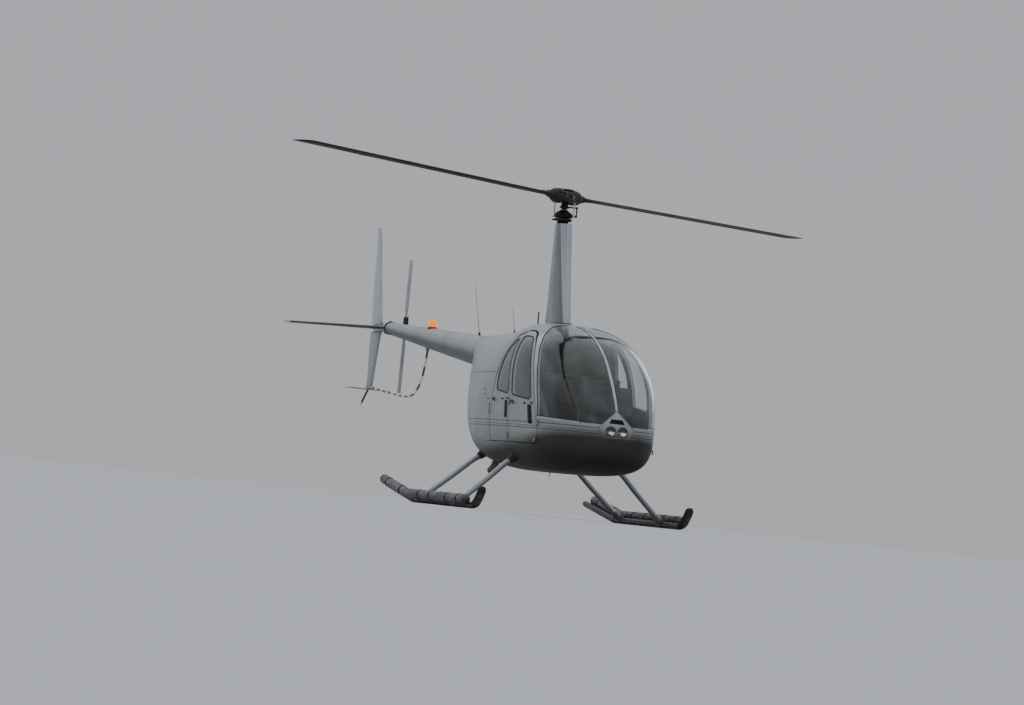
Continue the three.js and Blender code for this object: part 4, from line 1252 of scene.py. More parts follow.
# Foil-shaped parts
def foil(chord, thickness, count=22, tail=0.0012):
    # Places back from the leading edge and up, round the section
    s = (1 - np.cos(np.pi * np.arange(count + 1) / count)) / 2
    up = thickness * 5 * (0.2969 * np.sqrt(s) - 0.126 * s - 0.3516 * s ** 2 + 0.2843 * s ** 3
                          - 0.1036 * s ** 4)
    up = up + tail * s
    upper = np.stack([s * chord, up], 1)
    lower = np.stack([s[1:] * chord, -up[1:]], 1)[::-1]
    return np.vstack([upper, lower])


def wing(stations, back, up, count=22, tip=0.01):
    # A foil through (leading edge point, chord, thickness) stations, with a rounded tip past the last
    back, up = np.array(back, float), np.array(up, float)
    stations = [(np.array(p, float), c, t) for p, c, t in stations]
    p1, c1, t1 = stations[-1]
    outward = unit(p1 - stations[-2][0])
    if tip:
        stations[-1] = (p1 - outward * tip, c1, t1)
        for angle in (35, 65, 84):
            a = math.radians(angle)
            shrink = tip * (1 - math.cos(a))
            point = p1 - outward * tip * (1 - math.sin(a)) + back * shrink
            stations.append((point, c1 - 2 * shrink, t1 * max(math.cos(a), 0.15)))
    rings = []
    for point, chord, thickness in stations:
        section = foil(chord, thickness, count)
        rings.append(point + section[:, :1] * back + section[:, 1:] * up)
    return loft(rings)


def smoothStations(stations, steps):
    # Stations between the given ones, eased at each, so that a root swells and narrows smoothly
    out = []
    for (p, c, t), (end, d, u) in zip(stations[:-1], stations[1:]):
        for k in range(steps):
            w = k / steps
            e = w * w * (3 - 2 * w)
            out.append((np.array(p) * (1 - w) + np.array(end) * w, c + (d - c) * e, t + (u - t) * e))
    return out + [stations[-1]]


def skinTop(x, y):
    _, halfWidth, _, belt, top, fullness = np.moveaxis(sectionAt(tAt(x)), -1, 0)
    return belt + (top - belt) * (1 - np.minimum(np.abs(y) / halfWidth, 1) ** fullness) ** (1 / fullness)


mastSet = {
    "foot": (1.82, 0.53, 0.76, 0.15),     # z, nose, chord, thickness
    "top": (2.93, 0.21, 0.445, 0.132),
    "wall": 0.008,
    "band": (0.03, 0.085),      # how far back the painted highlight along the leading edge reaches at the foot and at the top
    "shaft": 0.026,
}


def makeMast():
    m = mastSet
    foot, top = np.array(m["foot"]), np.array(m["top"])

    def ringAt(levels, trim):
        out = []
        for k, w in enumerate(levels):
            z, nose, chord, thick = foot + (top - foot) * w
            s, y = foil(chord - 3 * trim, thick - 2 * trim)[k]
            out.append((nose - trim - s, y, z))
        return np.array(out)

    count = len(foil(1, 0.1))
    base = np.full(count, 0.07)
    for _ in range(6):
        ring = ringAt(base, 0)
        base += (skinTop(ring[:, 0], ring[:, 1]) + 0.0008 - ring[:, 2]) / (top[0] - foot[0])
    levels = [base + (1 - base) * w for w in np.linspace(0, 1, 16)]
    outer = [ringAt(level, 0) for level in levels]
    inner = [ringAt(level, m["wall"]) for level in levels[::-1]]
    points, faces = loft([fromMast(r) for r in outer + inner], looped=True)
    section = foil(1, 0.1)[:, 0]
    makePiece("mast-fairing", (points, faces), fairingPaint, ["mast_fairing"], sharp=50)
    # A thin light band round the leading edge: a painted highlight
    strips = []
    for level, ring in zip(levels, outer):
        w = float(np.mean(level))
        reach = (m["band"][0] + (m["band"][1] - m["band"][0]) * w) / (foot[2] + (top[2] - foot[2]) * w)
        upper, lower = ring[:count // 2 + 1], np.vstack([ring[:1], ring[:count // 2:-1]])
        stations = np.linspace(0, math.sqrt(reach), 12) ** 2
        halves = [np.stack([np.interp(stations, section[:count // 2 + 1], half[:, k]) for k in range(3)], 1)
                  for half in (upper, lower)]
        line = np.vstack([halves[0][:0:-1], halves[1]])
        middle = (ring[:, 0].max() - 0.06, 0)
        away = np.column_stack([unit(line[:, :2] - middle), np.zeros(len(line))])
        strips.append(fromMast(np.vstack([line + away * 0.0016, (line - away * 0.001)[::-1]])))
    makePiece("mast-fairing-highlight-band", loft(strips), fairingHighlightPaint, sharp=50)
    rows = []
    for index, side in ((int(np.argmax(section > 0.3)), 1), (count - int(np.argmax(section > 0.3)), -1)):
        line = np.array([fromMast(ring[index]) for ring in outer[1:]])
        rows.append(pipe(line, 0.0013, 8))
        spots = np.array([line[0] + (line[-1] - line[0]) * w for w in np.linspace(0.02, 0.98, 22)])
        rows.append(studs(spots - (0.016, 0, 0), [(0, side, 0)] * len(spots), 0.0036, 0.0014))
    makePiece("mast-fairing-seams", join(*rows), darkSteel)
    collar = pipe(fromMast(np.vstack([outer[0], outer[0][:1]]) + (0, 0, 0.003)), 0.0055, 8)
    makePiece("mast-fairing-foot-seal", collar, rubberSeal)
    z, nose, chord, thick = top
    rim = foil(chord - 3 * m["wall"] - 0.001, thick - 2 * m["wall"] - 0.001)
    outline = np.stack([nose - m["wall"] - rim[:, 0] + mastX, rim[:, 1]], 1)
    bore = circle((mastX, 0), m["shaft"] + 0.005)
    part, _ = panel(dense(outline, 0.012), 0, 0.004, [bore], 0.03, lift=flatAt(z - 0.004))
    makePiece("mast-fairing-cap", part, rotorBlack)
    makePiece("rotor-shaft", turned([(m["shaft"], 0), (m["shaft"], 1.4), (0.024, 1.404), (0.024, 1.53)],
                                    (mastX, 0, 1.6903), (0, 0, 1), 48), bareSteel, ["rotor_shaft"],
              body="rotor_mast")


headSet = {
    "heading": -47.4,       # of blade a, degrees to port from the nose
    "hub": 3.205,           # height of the teeter bolt
    "coning": 0.5,
    "linkAside": 0.128,     # of each pitch link from the mast
    "linkRadius": 0.0055,
    # Sections of each pitch horn: span, y, z, half width, half height
    "horn": ((0.235, 0.045, -0.004, 0.03, 0.024), (0.18, 0.095, -0.022, 0.026, 0.022),
             (0.06, 0.15, -0.048, 0.018, 0.013), (0.03, 0.152, -0.052, 0.012, 0.008)),
    "coningBolt": 0.176,
    "blade": (
        # span, chord, thickness, how far the leading edge lies ahead of the pitch axis
        (0.355, 0.1, 0.058, 0.05),
        (0.43, 0.15, 0.044, 0.058),
        (0.53, 0.235, 0.034, 0.067),
        (0.6, 0.254, 0.03, 0.068),
        (2.6, 0.254, 0.03, 0.068),
        (4.93, 0.254, 0.03, 0.068),
        (4.995, 0.238, 0.022, 0.06),
        (5.03, 0.205, 0.014, 0.044),
    ),
    "tab": (3.35, 3.75),
}


def place(part, turn=0.0):
    # A part made round the teeter bolt, its span along x, at the heading of blade a
    return shifted(spin(part, (0, 0, 1), headSet["heading"] + turn), (mastX, 0, headSet["hub"]))


def pair(part):
    return join(place(part), place(part, 180))


def rise(span):
    return span * math.tan(math.radians(headSet["coning"]))


def bar(stations, squareness=4.0, count=32):
    # A forging: rounded sections (span, half width, half height, height of the middle, chordwise shift)
    across, up = roundedSquare(fullTurn(count), squareness)
    return loft([np.stack([np.full(count, span), y + wide * across, z + tall * up], 1)
                 for span, wide, tall, z, y in stations])


def makeSwashplate():
    h = headSet
    # The part that stands still, with its ribbed boot
    boot = []
    for k in range(9):
        z = k * 0.0042
        boot += [(0.064 - 0.0012 * k, z), (0.058 - 0.0012 * k, z + 0.0021)]
    still = join(turned(boot + [(0.052, 0.038)], (mastX, 0, 2.9303), (0, 0, 1), 40),
                 turned([(0.08, 0), (0.088, 0.005), (0.089, 0.022), (0.08, 0.03), (0.06, 0.031)],
                        (mastX, 0, 2.957), (0, 0, 1), 48))
    studRing = [(*spot, 2.988) for spot in circle((mastX, 0), 0.074, 12)]
    horns = [spin(rod((mastX + 0.07, 0, 2.969), (mastX + 0.112, 0, 2.966), 0.011, 0.008), (0, 0, 1), turn,
                  (mastX, 0, 0)) for turn in (20, 140, 260)]
    makePiece("swashplate", join(still, *horns), rotorBlack, ["swashplate"], bevel=0.0008)
    makePiece("swashplate-bolts", studs(studRing, [(0, 0, 1)] * 12, 0.0045, 0.003, 6), darkSteel)
    # The part that turns with the mast: upper plate, two arms and the pitch links
    plate = turned([(0.03, 0), (0.08, 0.001), (0.09, 0.007), (0.091, 0.03), (0.084, 0.045), (0.066, 0.058),
                    (0.05, 0.066), (0.042, 0.078), (0.0262, 0.08)], (0, 0, 2.993 - h["hub"]), (0, 0, 1), 48)
    scissor = join(block((-0.134, -0.014, -0.196), (-0.08, 0.014, -0.178)),
                   block((-0.134, -0.011, -0.196), (-0.12, 0.011, -0.098)),
                   block((-0.132, -0.014, -0.108), (-0.028, 0.014, -0.094)),
                   rod((-0.127, -0.018, -0.187), (-0.127, 0.018, -0.187), 0.012),
                   rod((-0.127, -0.018, -0.102), (-0.127, 0.018, -0.102), 0.012))
    makePiece("scissor-link", place(scissor, -108 - h["heading"]), rotorBlack, body="rotor_mast",
              bevel=0.001)
    low, high = 3.008 - h["hub"], 3.15 - h["hub"]
    across, along = h["linkAside"], 0.03
    arm = loft([np.array([(along * k + 0.016, y, low - 0.01), (along * k - 0.016, y, low - 0.01),
                          (along * k - 0.016, y, low + 0.01), (along * k + 0.016, y, low + 0.01)])
                for k, y in ((0, 0.055), (0.6, 0.095), (1, across - 0.012))])
    link = join(rod((along, across, low - 0.004), (along, across, high + 0.004), h["linkRadius"]),
                rod((along, across, low + 0.03), (along, across, high - 0.03), h["linkRadius"] + 0.0022,
                    sides=6), rod((along, across - 0.012, low), (along, across + 0.012, low), 0.0115),
                rod((along, across - 0.01, high), (along, across + 0.01, high), 0.0115))
    makePiece("swashplate-rotor", pair(join(plate, arm)), rotorBlack, body="rotor_mast", bevel=0.0008)
    makePiece("pitch-links", pair(link), bareSteel, body="rotor_mast")


def makeHub():
    # The teetering hub: yoke, bolt and cap
    h = headSet
    neck = turned([(0.0262, 0), (0.046, 0.002), (0.05, 0.01), (0.04, 0.018), (0.034, 0.052),
                   (0.0262, 0.056)], (0, 0, 3.088 - h["hub"]), (0, 0, 1), 40)
    makePiece("mast-collar", place(neck), rotorBlack, body="rotor_mast", bevel=0.0006)
    sleeve = turned([(0.0262, 0), (0.03, 0.001), (0.03, 0.019), (0.0262, 0.02)], (0, 0, 3.076 - h["hub"]),
                    (0, 0, 1), 32)
    makePiece("mast-sleeve", place(sleeve), rotorBlack, body="rotor_mast")
    bolt = join(rod((0, -0.098, 0), (0, 0.098, 0), 0.013, sides=24),
                rod((0, 0.0905, 0), (0, 0.1, 0), 0.022, sides=6),
                rod((0, -0.1, 0), (0, -0.0905, 0), 0.022, sides=6))
    makePiece("teeter-bolt", place(bolt), darkSteel, body="rotor_mast", bevel=0.0008)
    side = [(-0.168, 0.03, 0.04, 0, 0), (-0.16, 0.04, 0.048, 0, 0), (-0.1, 0.024, 0.054, 0, 0),
            (0.0, 0.022, 0.058, 0, 0), (0.1, 0.024, 0.054, 0, 0), (0.16, 0.04, 0.048, 0, 0),
            (0.168, 0.03, 0.04, 0, 0)]
    cheeks = [shifted(bar(side), (0, y, 0)) for y in (-0.056, 0.056)]
    top = bar([(-0.115, 0.06, 0.006, 0.04, 0), (-0.108, 0.074, 0.01, 0.04, 0), (0.108, 0.074, 0.01, 0.04, 0),
               (0.115, 0.06, 0.006, 0.04, 0)], 6)
    ends = [bar([(s * 0.088, 0.07, 0.032, 0, 0), (s * 0.094, 0.076, 0.038, 0, 0),
                 (s * 0.15, 0.074, 0.04, 0, 0), (s * 0.166, 0.06, 0.034, 0, 0)], 5) for s in (-1, 1)]
    bosses = [turned([(0.024, 0), (0.034, 0.004), (0.034, 0.014), (0.025, 0.018)], (0, s * 0.07, 0),
                     (0, s, 0), 32) for s in (-1, 1)]
    cap = turned([(0.064, 0), (0.066, 0.004), (0.06, 0.012), (0.078, 0.015), (0.08, 0.02), (0.079, 0.0235),
                  (0.052, 0.026), (0.046, 0.0275), (0.02, 0.0285)], (0, 0, 0.0525), (0, 0, 1), 48)
    hubParts = [place(p) for p in (*cheeks, top, *ends, *bosses, cap)]
    makePiece("rotor-hub", join(*hubParts), rotorBlack, ["rotor_hub"], body="rotor_head", bevel=0.001)


def makeGrips():
    # Grips with their coning bolts, boots and pitch horns
    h = headSet
    grip = bar([(0.104, 0.044, 0.058, rise(0.1), 0), (0.112, 0.054, 0.07, rise(0.1), 0),
                (0.15, 0.062, 0.076, rise(0.15), 0), (0.2, 0.062, 0.07, rise(0.2), 0),
                (0.25, 0.056, 0.05, rise(0.25), 0), (0.262, 0.048, 0.038, rise(0.26), 0)], 3.4)
    ribs = []
    for k in range(8):
        span = 0.262 + 0.01 * k
        ribs += [(span, 0.052 - 0.0008 * k, 0.042 - 0.0008 * k, rise(span), 0),
                 (span + 0.005, 0.046 - 0.0008 * k, 0.036 - 0.0008 * k, rise(span), 0)]
    bootPart = bar(ribs, 2.6)
    span = h["coningBolt"]
    conings = [join(rod((span, -0.074, rise(span)), (span, 0.074, rise(span)), 0.014, sides=24),
                    rod((span, s * 0.064, rise(span)), (span, s * 0.0765, rise(span)), 0.024, sides=6))
               for s in (-1, 1)]
    horn = loft([np.array([(x - w, y, z - t), (x + w, y, z - t), (x + w, y, z + t), (x - w, y, z + t)])
                 for x, y, z, w, t in h["horn"]])
    makePiece("blade-grips", pair(join(grip, horn)), rotorBlack, body="rotor_head", bevel=0.001)
    makePiece("grip-boots", pair(bootPart), rubberSeal, body="rotor_head")
    makePiece("coning-bolts", pair(join(*conings)), darkSteel, body="rotor_head", bevel=0.0008)


def makeBlades():
    h = headSet
    stations = [((span, lead, rise(span)), chord, thick) for span, chord, thick, lead in h["blade"]]
    blade = wing(smoothStations(stations, 5), (0, -1, 0), (0, 0, 1), 24, 0.006)
    low, high = h["tab"]
    trail, z = h["blade"][3][3] - h["blade"][3][1], rise(3.5)
    tab = block((low, trail - 0.012, z - 0.0007), (high, trail + 0.004, z + 0.0007))
    for name, turn in (("a", 0), ("b", 180)):
        makePiece(f"main-blade-{name}", place(join(blade, tab), turn), bladePaint, [f"main_blade_{name}"],
                  body="rotor_head", sharp=50)
        spots = [(0.4 + 0.035 * k, 0.01 - 0.008 * k, rise(0.4) + 0.0315 - 0.0032 * k) for k in range(3)]
        bolts = studs(spots, [(0, 0, 1)] * 3, 0.008, 0.004, 6)
        makePiece(f"blade-bolts-{name}", place(bolts, turn), darkSteel, body="rotor_head")


makeMast()
makeSwashplate()
makeHub()
makeGrips()
makeBlades()
print("mast and rotor are made")


# Tail
tailSet = {
    "front": (-1.9053, 1.61, 0.172),       # x, z of the middle, radius
    "rear": (-5.6, 1.86, 0.066),
    "seams": (-2.02, -2.62, -3.22, -3.8, -4.38, -4.96, -5.5),
    "guard": ((-4.13, 1.66), (-4.15, 1.56), (-4.23, 1.34), (-4.4, 1.185), (-4.62, 1.13), (-5.3, 1.15),
              (-6.06, 1.205), (-6.104, 1.2085)),
    "guardRadius": 0.012,
    "band": 0.105,
    "rivets": 0.032,        # from one to the next along the cone
    "carrier": (
        # x, half width, low, high, power of the outline
        (-5.604, 0.048, 1.812, 1.908, 2.2),
        (-5.64, 0.036, 1.815, 1.905, 2.6),
        (-5.7, 0.025, 1.82, 1.9, 4),
        (-5.76, 0.0255, 1.8203, 1.8997, 6),
        (-6.16, 0.0255, 1.8203, 1.8997, 6),
        (-6.18, 0.02, 1.828, 1.892, 6),
    ),
    # Root and tip of each fin, as (leading edge, chord, thickness)
    "upper": (((-5.92, 0, 1.9003), 0.385, 0.042), ((-6.305, 0, 2.98), 0.158, 0.018)),
    "lower": (((-5.935, 0, 1.8197), 0.375, 0.042), ((-6.075, 0, 1.1903), 0.22, 0.03)),
    "stabilizer": (((-5.65, -0.0263, 1.862), 0.33, 0.038), ((-5.765, -1.09, 1.8194), 0.255, 0.026)),
    "plate": ((-6.33, -6.09), 0.225, 1.1896),      # x, half width, top
    "skid": ((-6.205, 1.1776), (-6.3, 1.11), (-6.44, 1.0)),
    "rotor": (-5.87, 0.25, 1.905),
    "rotorRadius": 0.737,
    "rotorChord": 0.125,
    "rotorBand": (0.6, 0.66),
    "beacon": -4.05,
}


def coneAt(x):
    t = tailSet
    front, rear = np.array(t["front"]), np.array(t["rear"])
    _, z, r = front + (rear - front) * (x - front[0]) / (rear[0] - front[0])
    return z, r


def coneRing(x, extra=0.0, count=64):
    z, r = coneAt(x)
    around, r = fullTurn(count), r + extra
    return np.stack([np.full(count, x + mastX), r * np.cos(around), z + r * np.sin(around)], 1)


def makeCone():
    t = tailSet
    xs = np.linspace(t["front"][0], t["rear"][0], 46)
    cone = loft([coneRing(x) for x in xs] + [coneRing(x, -0.004) for x in xs[::-1]], looped=True)
    makePiece("tail-cone", cone, boomPaint, ["tail_cone"], sharp=50)
    bands, rivets = [], []
    for x in t["seams"]:
        bands.append(loft([coneRing(x - 0.021, -0.0005), coneRing(x - 0.0205, 0.0009),
                           coneRing(x + 0.0205, 0.0009), coneRing(x + 0.021, -0.0005)]))
        for off in (-0.012, 0.012):
            count = max(24, int(coneAt(x + off)[1] * 2 * math.pi / 0.026))
            outward = [(0, math.cos(a), math.sin(a)) for a in fullTurn(count)]
            rivets.append(studs(coneRing(x + off, 0.0009, count), outward, 0.0032, 0.0011, 6))
    xs = np.arange(t["front"][0] - 0.05, t["rear"][0] + 0.03, -t["rivets"])
    for a in np.radians((-8, 188)):
        spots = [(x + mastX, r * math.cos(a), z + r * math.sin(a)) for x, (z, r) in zip(xs, map(coneAt, xs))]
        rivets.append(studs(spots, [(0, math.cos(a), math.sin(a))] * len(xs), 0.003, 0.001, 6))
    makePiece("tail-cone-bands", join(*bands), boomPaint, sharp=30)
    makePiece("tail-cone-rivets", join(*rivets), darkSteel)
    # Rubber ring where the cone leaves the body, and the dark ring and bulkhead at its rear
    z, _ = coneAt(-1.905)
    front = turned([(0.15, -0.004), (0.176, -0.004), (0.184, 0.004), (0.186, 0.013), (0.176, 0.022),
                    (0.168, 0.024)], (mastX - 1.9, 0, z), (-1, 0, 0), 64)
    makePiece("tail-cone-front-seal", front, rubberSeal)
    z, r = coneAt(-5.6)
    rear = turned([(0.06, -0.03), (r + 0.0075, -0.028), (r + 0.008, -0.002), (r + 0.004, 0.002),
                   (0.05, 0.004), (0.046, 0.01)], (mastX - 5.598, 0, z), (-1, 0, 0), 48)
    makePiece("tail-cone-rear-ring", rear, rotorBlack)


def makeFins():
    # The casting that carries the fins, the fins and the stabilizer
    t = tailSet
    rings = []
    for x, wide, low, high, power in t["carrier"]:
        across, up = roundedSquare(fullTurn(32), power)
        rings.append(np.stack([np.full(32, x), wide * across, (low + high) / 2 + (high - low) / 2 * up], 1))
    makePiece("tail-carrier", loft([fromMast(r) for r in rings]), plainPaint, ["tail_carrier"],
              slot="belly_paint")

    def surfaceOf(stations, up, tip):
        return wing(smoothStations([(fromMast(p), c, th) for p, c, th in stations], 8), (-1, 0, 0), up, 26,
                    tip)

    for name, material, tip in (("upper", postPaint, 0.012), ("lower", plainPaint, 0.003)):
        makePiece(f"fin-{name}", surfaceOf(t[name], (0, 1, 0), tip), material, [f"fin_{name}"], sharp=50)
    fairings = []
    for z, lead, chord, up in ((1.901, -5.915, 0.395, 1), (1.819, -5.93, 0.385, -1)):
        section = foil(chord, 0.05)
        rings = [fromMast(np.stack([lead + e - section[:, 0] * (1 - 2 * e / chord), section[:, 1] * k,
                                    np.full(len(section), z + h * up)], 1))
                 for e, k, h in ((0, 1.25, 0), (0, 1.2, 0.006), (0.006, 1.0, 0.014), (0.01, 0.9, 0.022))]
        fairings.append(loft(rings))
    makePiece("fin-root-fairings", join(*fairings), plainPaint, sharp=50)
    part = surfaceOf(t["stabilizer"], (0, 0, 1), 0.004)
    makePiece("horizontal-stabilizer", part, stabilizerPaint, ["horizontal_stabilizer"], sharp=50)
    section = foil(0.262, 0.04)
    ends = [fromMast(np.stack([-5.762 - section[:, 0], np.full(len(section), y), 1.8194 + section[:, 1]], 1))
            for y in (-1.0885, -1.0935)]
    makePiece("stabilizer-end-plate", loft(ends), postPaint, bevel=0.001)


def makeTailSkid():
    # Plate and skid under the lower fin
    t = tailSet
    (low, high), half, z = t["plate"]
    outline = rounded([(low, -half), (high, -half), (high, half), (low, half)], 0.035)
    part, _ = panel(dense(outline + (mastX, 0), 0.02), 0, 0.0115, grid=0.06, lift=flatAt(z))
    makePiece("tail-plate", part, plainPaint, ["tail_plate"], slot="belly_paint", bevel=0.0015)
    bolts = [(mastX + x, y, z) for x in (high - 0.02, low + 0.02) for y in (-0.035, 0.035)]
    makePiece("tail-plate-bolts", studs(bolts, [(0, 0, 1)] * 4, 0.007, 0.004, 6), darkSteel)
    line = pathThrough(inPlane(t["skid"]), 24)
    makePiece("tail-skid", pipe(line[:19], 0.011, 20), rotorBlack, ["tail_skid"])
    tipLine = line[18:]
    makePiece("tail-skid-tip", pipe(tipLine, np.linspace(0.0125, 0.0095, len(tipLine)), 20), whiteBand,
              bevel=0.001)


def makeGuard():
    # The rod in bands of two colours
    t = tailSet
    line = pathThrough(inPlane(t["guard"]), 160)
    part = pipe(line, t["guardRadius"], 20)
    reach = reachAlong(line)
    marks = [int(reach[min(min(f) // 20, len(reach) - 1)] / t["band"]) % 2 for f in part[1]]
    makePiece("tail-rotor-guard", part, [darkRedBand, whiteBand], ["tail_rotor_guard"], marks=marks)
    z, r = coneAt(-4.13)
    clamp = join(block((mastX - 4.185, -0.024, z - r - 0.006), (mastX - 4.085, 0.024, z - r + 0.001)),
                 washer((mastX - 4.133, 0, z - r - 0.03), (0.05, 0, 1), 0.0122, 0.019, 0, 0.026))
    makePiece("guard-bracket", clamp, castAlloy, bevel=0.001)


def makeTailRotor():
    t = tailSet
    x, y, z = t["rotor"]
    box = join(turned([(0.05, 0), (0.062, 0.002), (0.062, 0.01), (0.056, 0.014), (0.056, 0.03),
                       (0.06, 0.034), (0.06, 0.04), (0.052, 0.046), (0.05, 0.07), (0.036, 0.094)],
                      (x + mastX, 0.0263, z - 0.045), (0, 1, 0), 48),
               turned([(0.037, 0), (0.037, 0.012), (0.034, 0.016), (0.034, 0.08), (0.03, 0.086),
                       (0.03, 0.1045)], (x + mastX, 0.06, z), (0, 1, 0), 40),
               rod((x + mastX + 0.02, 0.075, z - 0.002), (x + mastX + 0.02, 0.075, z + 0.045), 0.011,
                   sides=16))
    makePiece("tail-gearbox", box, castAlloy, ["tail_gearbox"], bevel=0.001)
    ring = [(a, 0.0395, b) for a, b in circle((x + mastX, z - 0.045), 0.051, 8)]
    makePiece("tail-gearbox-nuts", studs(ring, [(0, 1, 0)] * 8, 0.006, 0.004, 6), darkSteel)
    centre = np.array((x + mastX, y, z))
    yoke = join(turned([(0.022, 0), (0.025, 0.003), (0.025, 0.052), (0.021, 0.058), (0.021, 0.112),
                        (0.012, 0.1165)], (x + mastX, 0.1653, z), (0, 1, 0), 32),
                loft([centre + [(-w, -0.02, h), (w, -0.02, h), (w, 0.02, h), (-w, 0.02, h)]
                      for h, w in ((-0.105, 0.018), (-0.09, 0.03), (-0.035, 0.034), (0.035, 0.034),
                                   (0.09, 0.03), (0.105, 0.018))]))
    makePiece("tail-rotor-hub", yoke, rotorBlack, ["tail_rotor_hub"], body="tail_rotor", bevel=0.0012)
    spider = turned([(0.014, 0), (0.03, 0.002), (0.03, 0.008), (0.014, 0.01)], (x + mastX, 0.272, z),
                    (0, 1, 0), 24)
    links = [rod(centre + (0.02 * s, 0.024, 0.01 * s), centre + (0.046 * s, 0.014, 0.128 * s), 0.0035)
             for s in (1, -1)]
    makePiece("tail-pitch-links", join(spider, *links), bareSteel, body="tail_rotor")
    stations = ((0.1053, 0.07, 0.022), (0.15, 0.086, 0.02), (0.215, t["rotorChord"], 0.015),
                (t["rotorRadius"], t["rotorChord"], 0.013))
    half = smoothStations([((0.35 * chord, 0, span), chord, thick) for span, chord, thick in stations], 4)
    blade = wing(half, (-1, 0, 0), (0, 1, 0), 20, 0.008)
    for name, turn in (("a", 0), ("b", 180)):
        part = shifted(spin(blade, (0, 1, 0), turn), centre)
        low, high = t["rotorBand"]
        marks = [int(low < abs(part[0][f, 2].mean() - z) < high) for f in part[1]]
        makePiece(f"tail-blade-{name}", part, [tailBladePaint, whiteBand], [f"tail_blade_{name}"],
                  body="tail_rotor", slot="tail_blade_grey", marks=marks, sharp=50)


def makeBeacon():
    t = tailSet
    z, r = coneAt(t["beacon"])
    foot = fromMast((t["beacon"], 0, z + r))
    base = turned([(0.052, -0.016), (0.052, 0.004), (0.049, 0.008), (0.046, 0.01), (0.046, 0.016)],
                  foot - (0, 0, 0.002), (0, 0, 1), 40)
    makePiece("beacon-base", base, darkRedBand)
    lens = [(0.0455, 0), (0.0455, 0.006), (0.044, 0.008), (0.0455, 0.014), (0.044, 0.02), (0.0445, 0.03),
            (0.042, 0.044), (0.036, 0.06), (0.025, 0.073), (0.012, 0.08), (0.001, 0.082)]
    makePiece("beacon-lens", turned(lens, foot + (0, 0, 0.0142), (0, 0, 1), 40), beaconGlow, ["beacon"])


def aerial(name, x, top, points, replaces=()):
    foot = turned([(0.016, -0.004), (0.016, 0.003), (0.012, 0.006), (0.009, 0.026), (0.0055, 0.03)],
                  fromMast((x, 0, top)), (-0.15, 0, 1), 20)
    line = inPlane([(x - 0.004, top + 0.02), *points])
    whip = pipe(pathThrough(line, 20), np.linspace(0.0032, 0.0017, 20), 10)
    makePiece(name, join(foot, whip), rotorBlack, replaces, slot="antenna_black")


def makeAerials():
    z, r = coneAt(-2.37)
    aerial("antenna-boom", -2.37, z + r, [(-2.52, 2.05), (-2.68, 2.325)], ["antenna_boom"])
    top = float(skinTop(-1.2, 0.0))
    aerial("antenna-cowling", -1.2, top, [(-1.26, top + 0.12), (-1.34, top + 0.26)])
    stub = [(0.013, -0.004), (0.013, 0.003), (0.008, 0.008), (0.0065, 0.165), (0.004, 0.172)]
    part = turned(stub, fromMast((-0.46, 0, float(skinTop(-0.46, 0.0)))), (-0.06, 0, 1), 20)
    makePiece("antenna-roof", part, rotorBlack, slot="antenna_black")


makeCone()
makeFins()
makeTailSkid()
makeGuard()
makeTailRotor()
makeBeacon()
makeAerials()
print("tail is made")


# Landing gear
gearSet = {
    "aside": 1.075,
    "radius": 0.032,
    "float": 0.052,
    "floatOut": 0.064,
    "leg": 0.028,
    # x, then y and z where the leg leaves the body, and z of the bar between the legs
    "bars": {"front": (0.846, 0.556, 0.524, 0.575), "rear": (-0.41, 0.473, 0.547, 0.575)},
    "footZ": 0.04,
    "skid": ((1.612, 0.205), (1.56, 0.12), (1.47, 0.055), (1.4, 0.036), (1.34, 0.0325), (1.3, 0.0325),
             (1.2, 0.0325), (-0.5, 0.0325), (-0.56, 0.0325), (-0.64, 0.038), (-0.76, 0.054), (-1.6, 0.172)),
    "bag": ((1.355, 0.0325), (1.2, 0.0325), (-0.5, 0.0325), (-0.56, 0.0325), (-0.64, 0.038), (-0.76, 0.054),
            (-1.495, 0.157)),
    "lashings": (0.21, 0.58, 1.12, 1.5, 2.14, 2.62),    # along the float from its front end
    "pinch": 0.003,        # how far a lashing draws the cover in
    "fold": 0.0028,        # how far the cover's folds, ripples and creases stray
    "ripple": 0.0014,
    "crease": 0.006,
    "toe": ((1.38, 0.036), (1.45, 0.05), (1.52, 0.092), (1.585, 0.15), (1.64, 0.218)),
    "shoes": ((-0.48, -0.28), (0.7, 0.98), (1.1, 1.32)),
    "exhaust": ((-0.56, 0.6397), (-0.562, 0.57), (-0.61, 0.47), (-0.74, 0.4)),
}


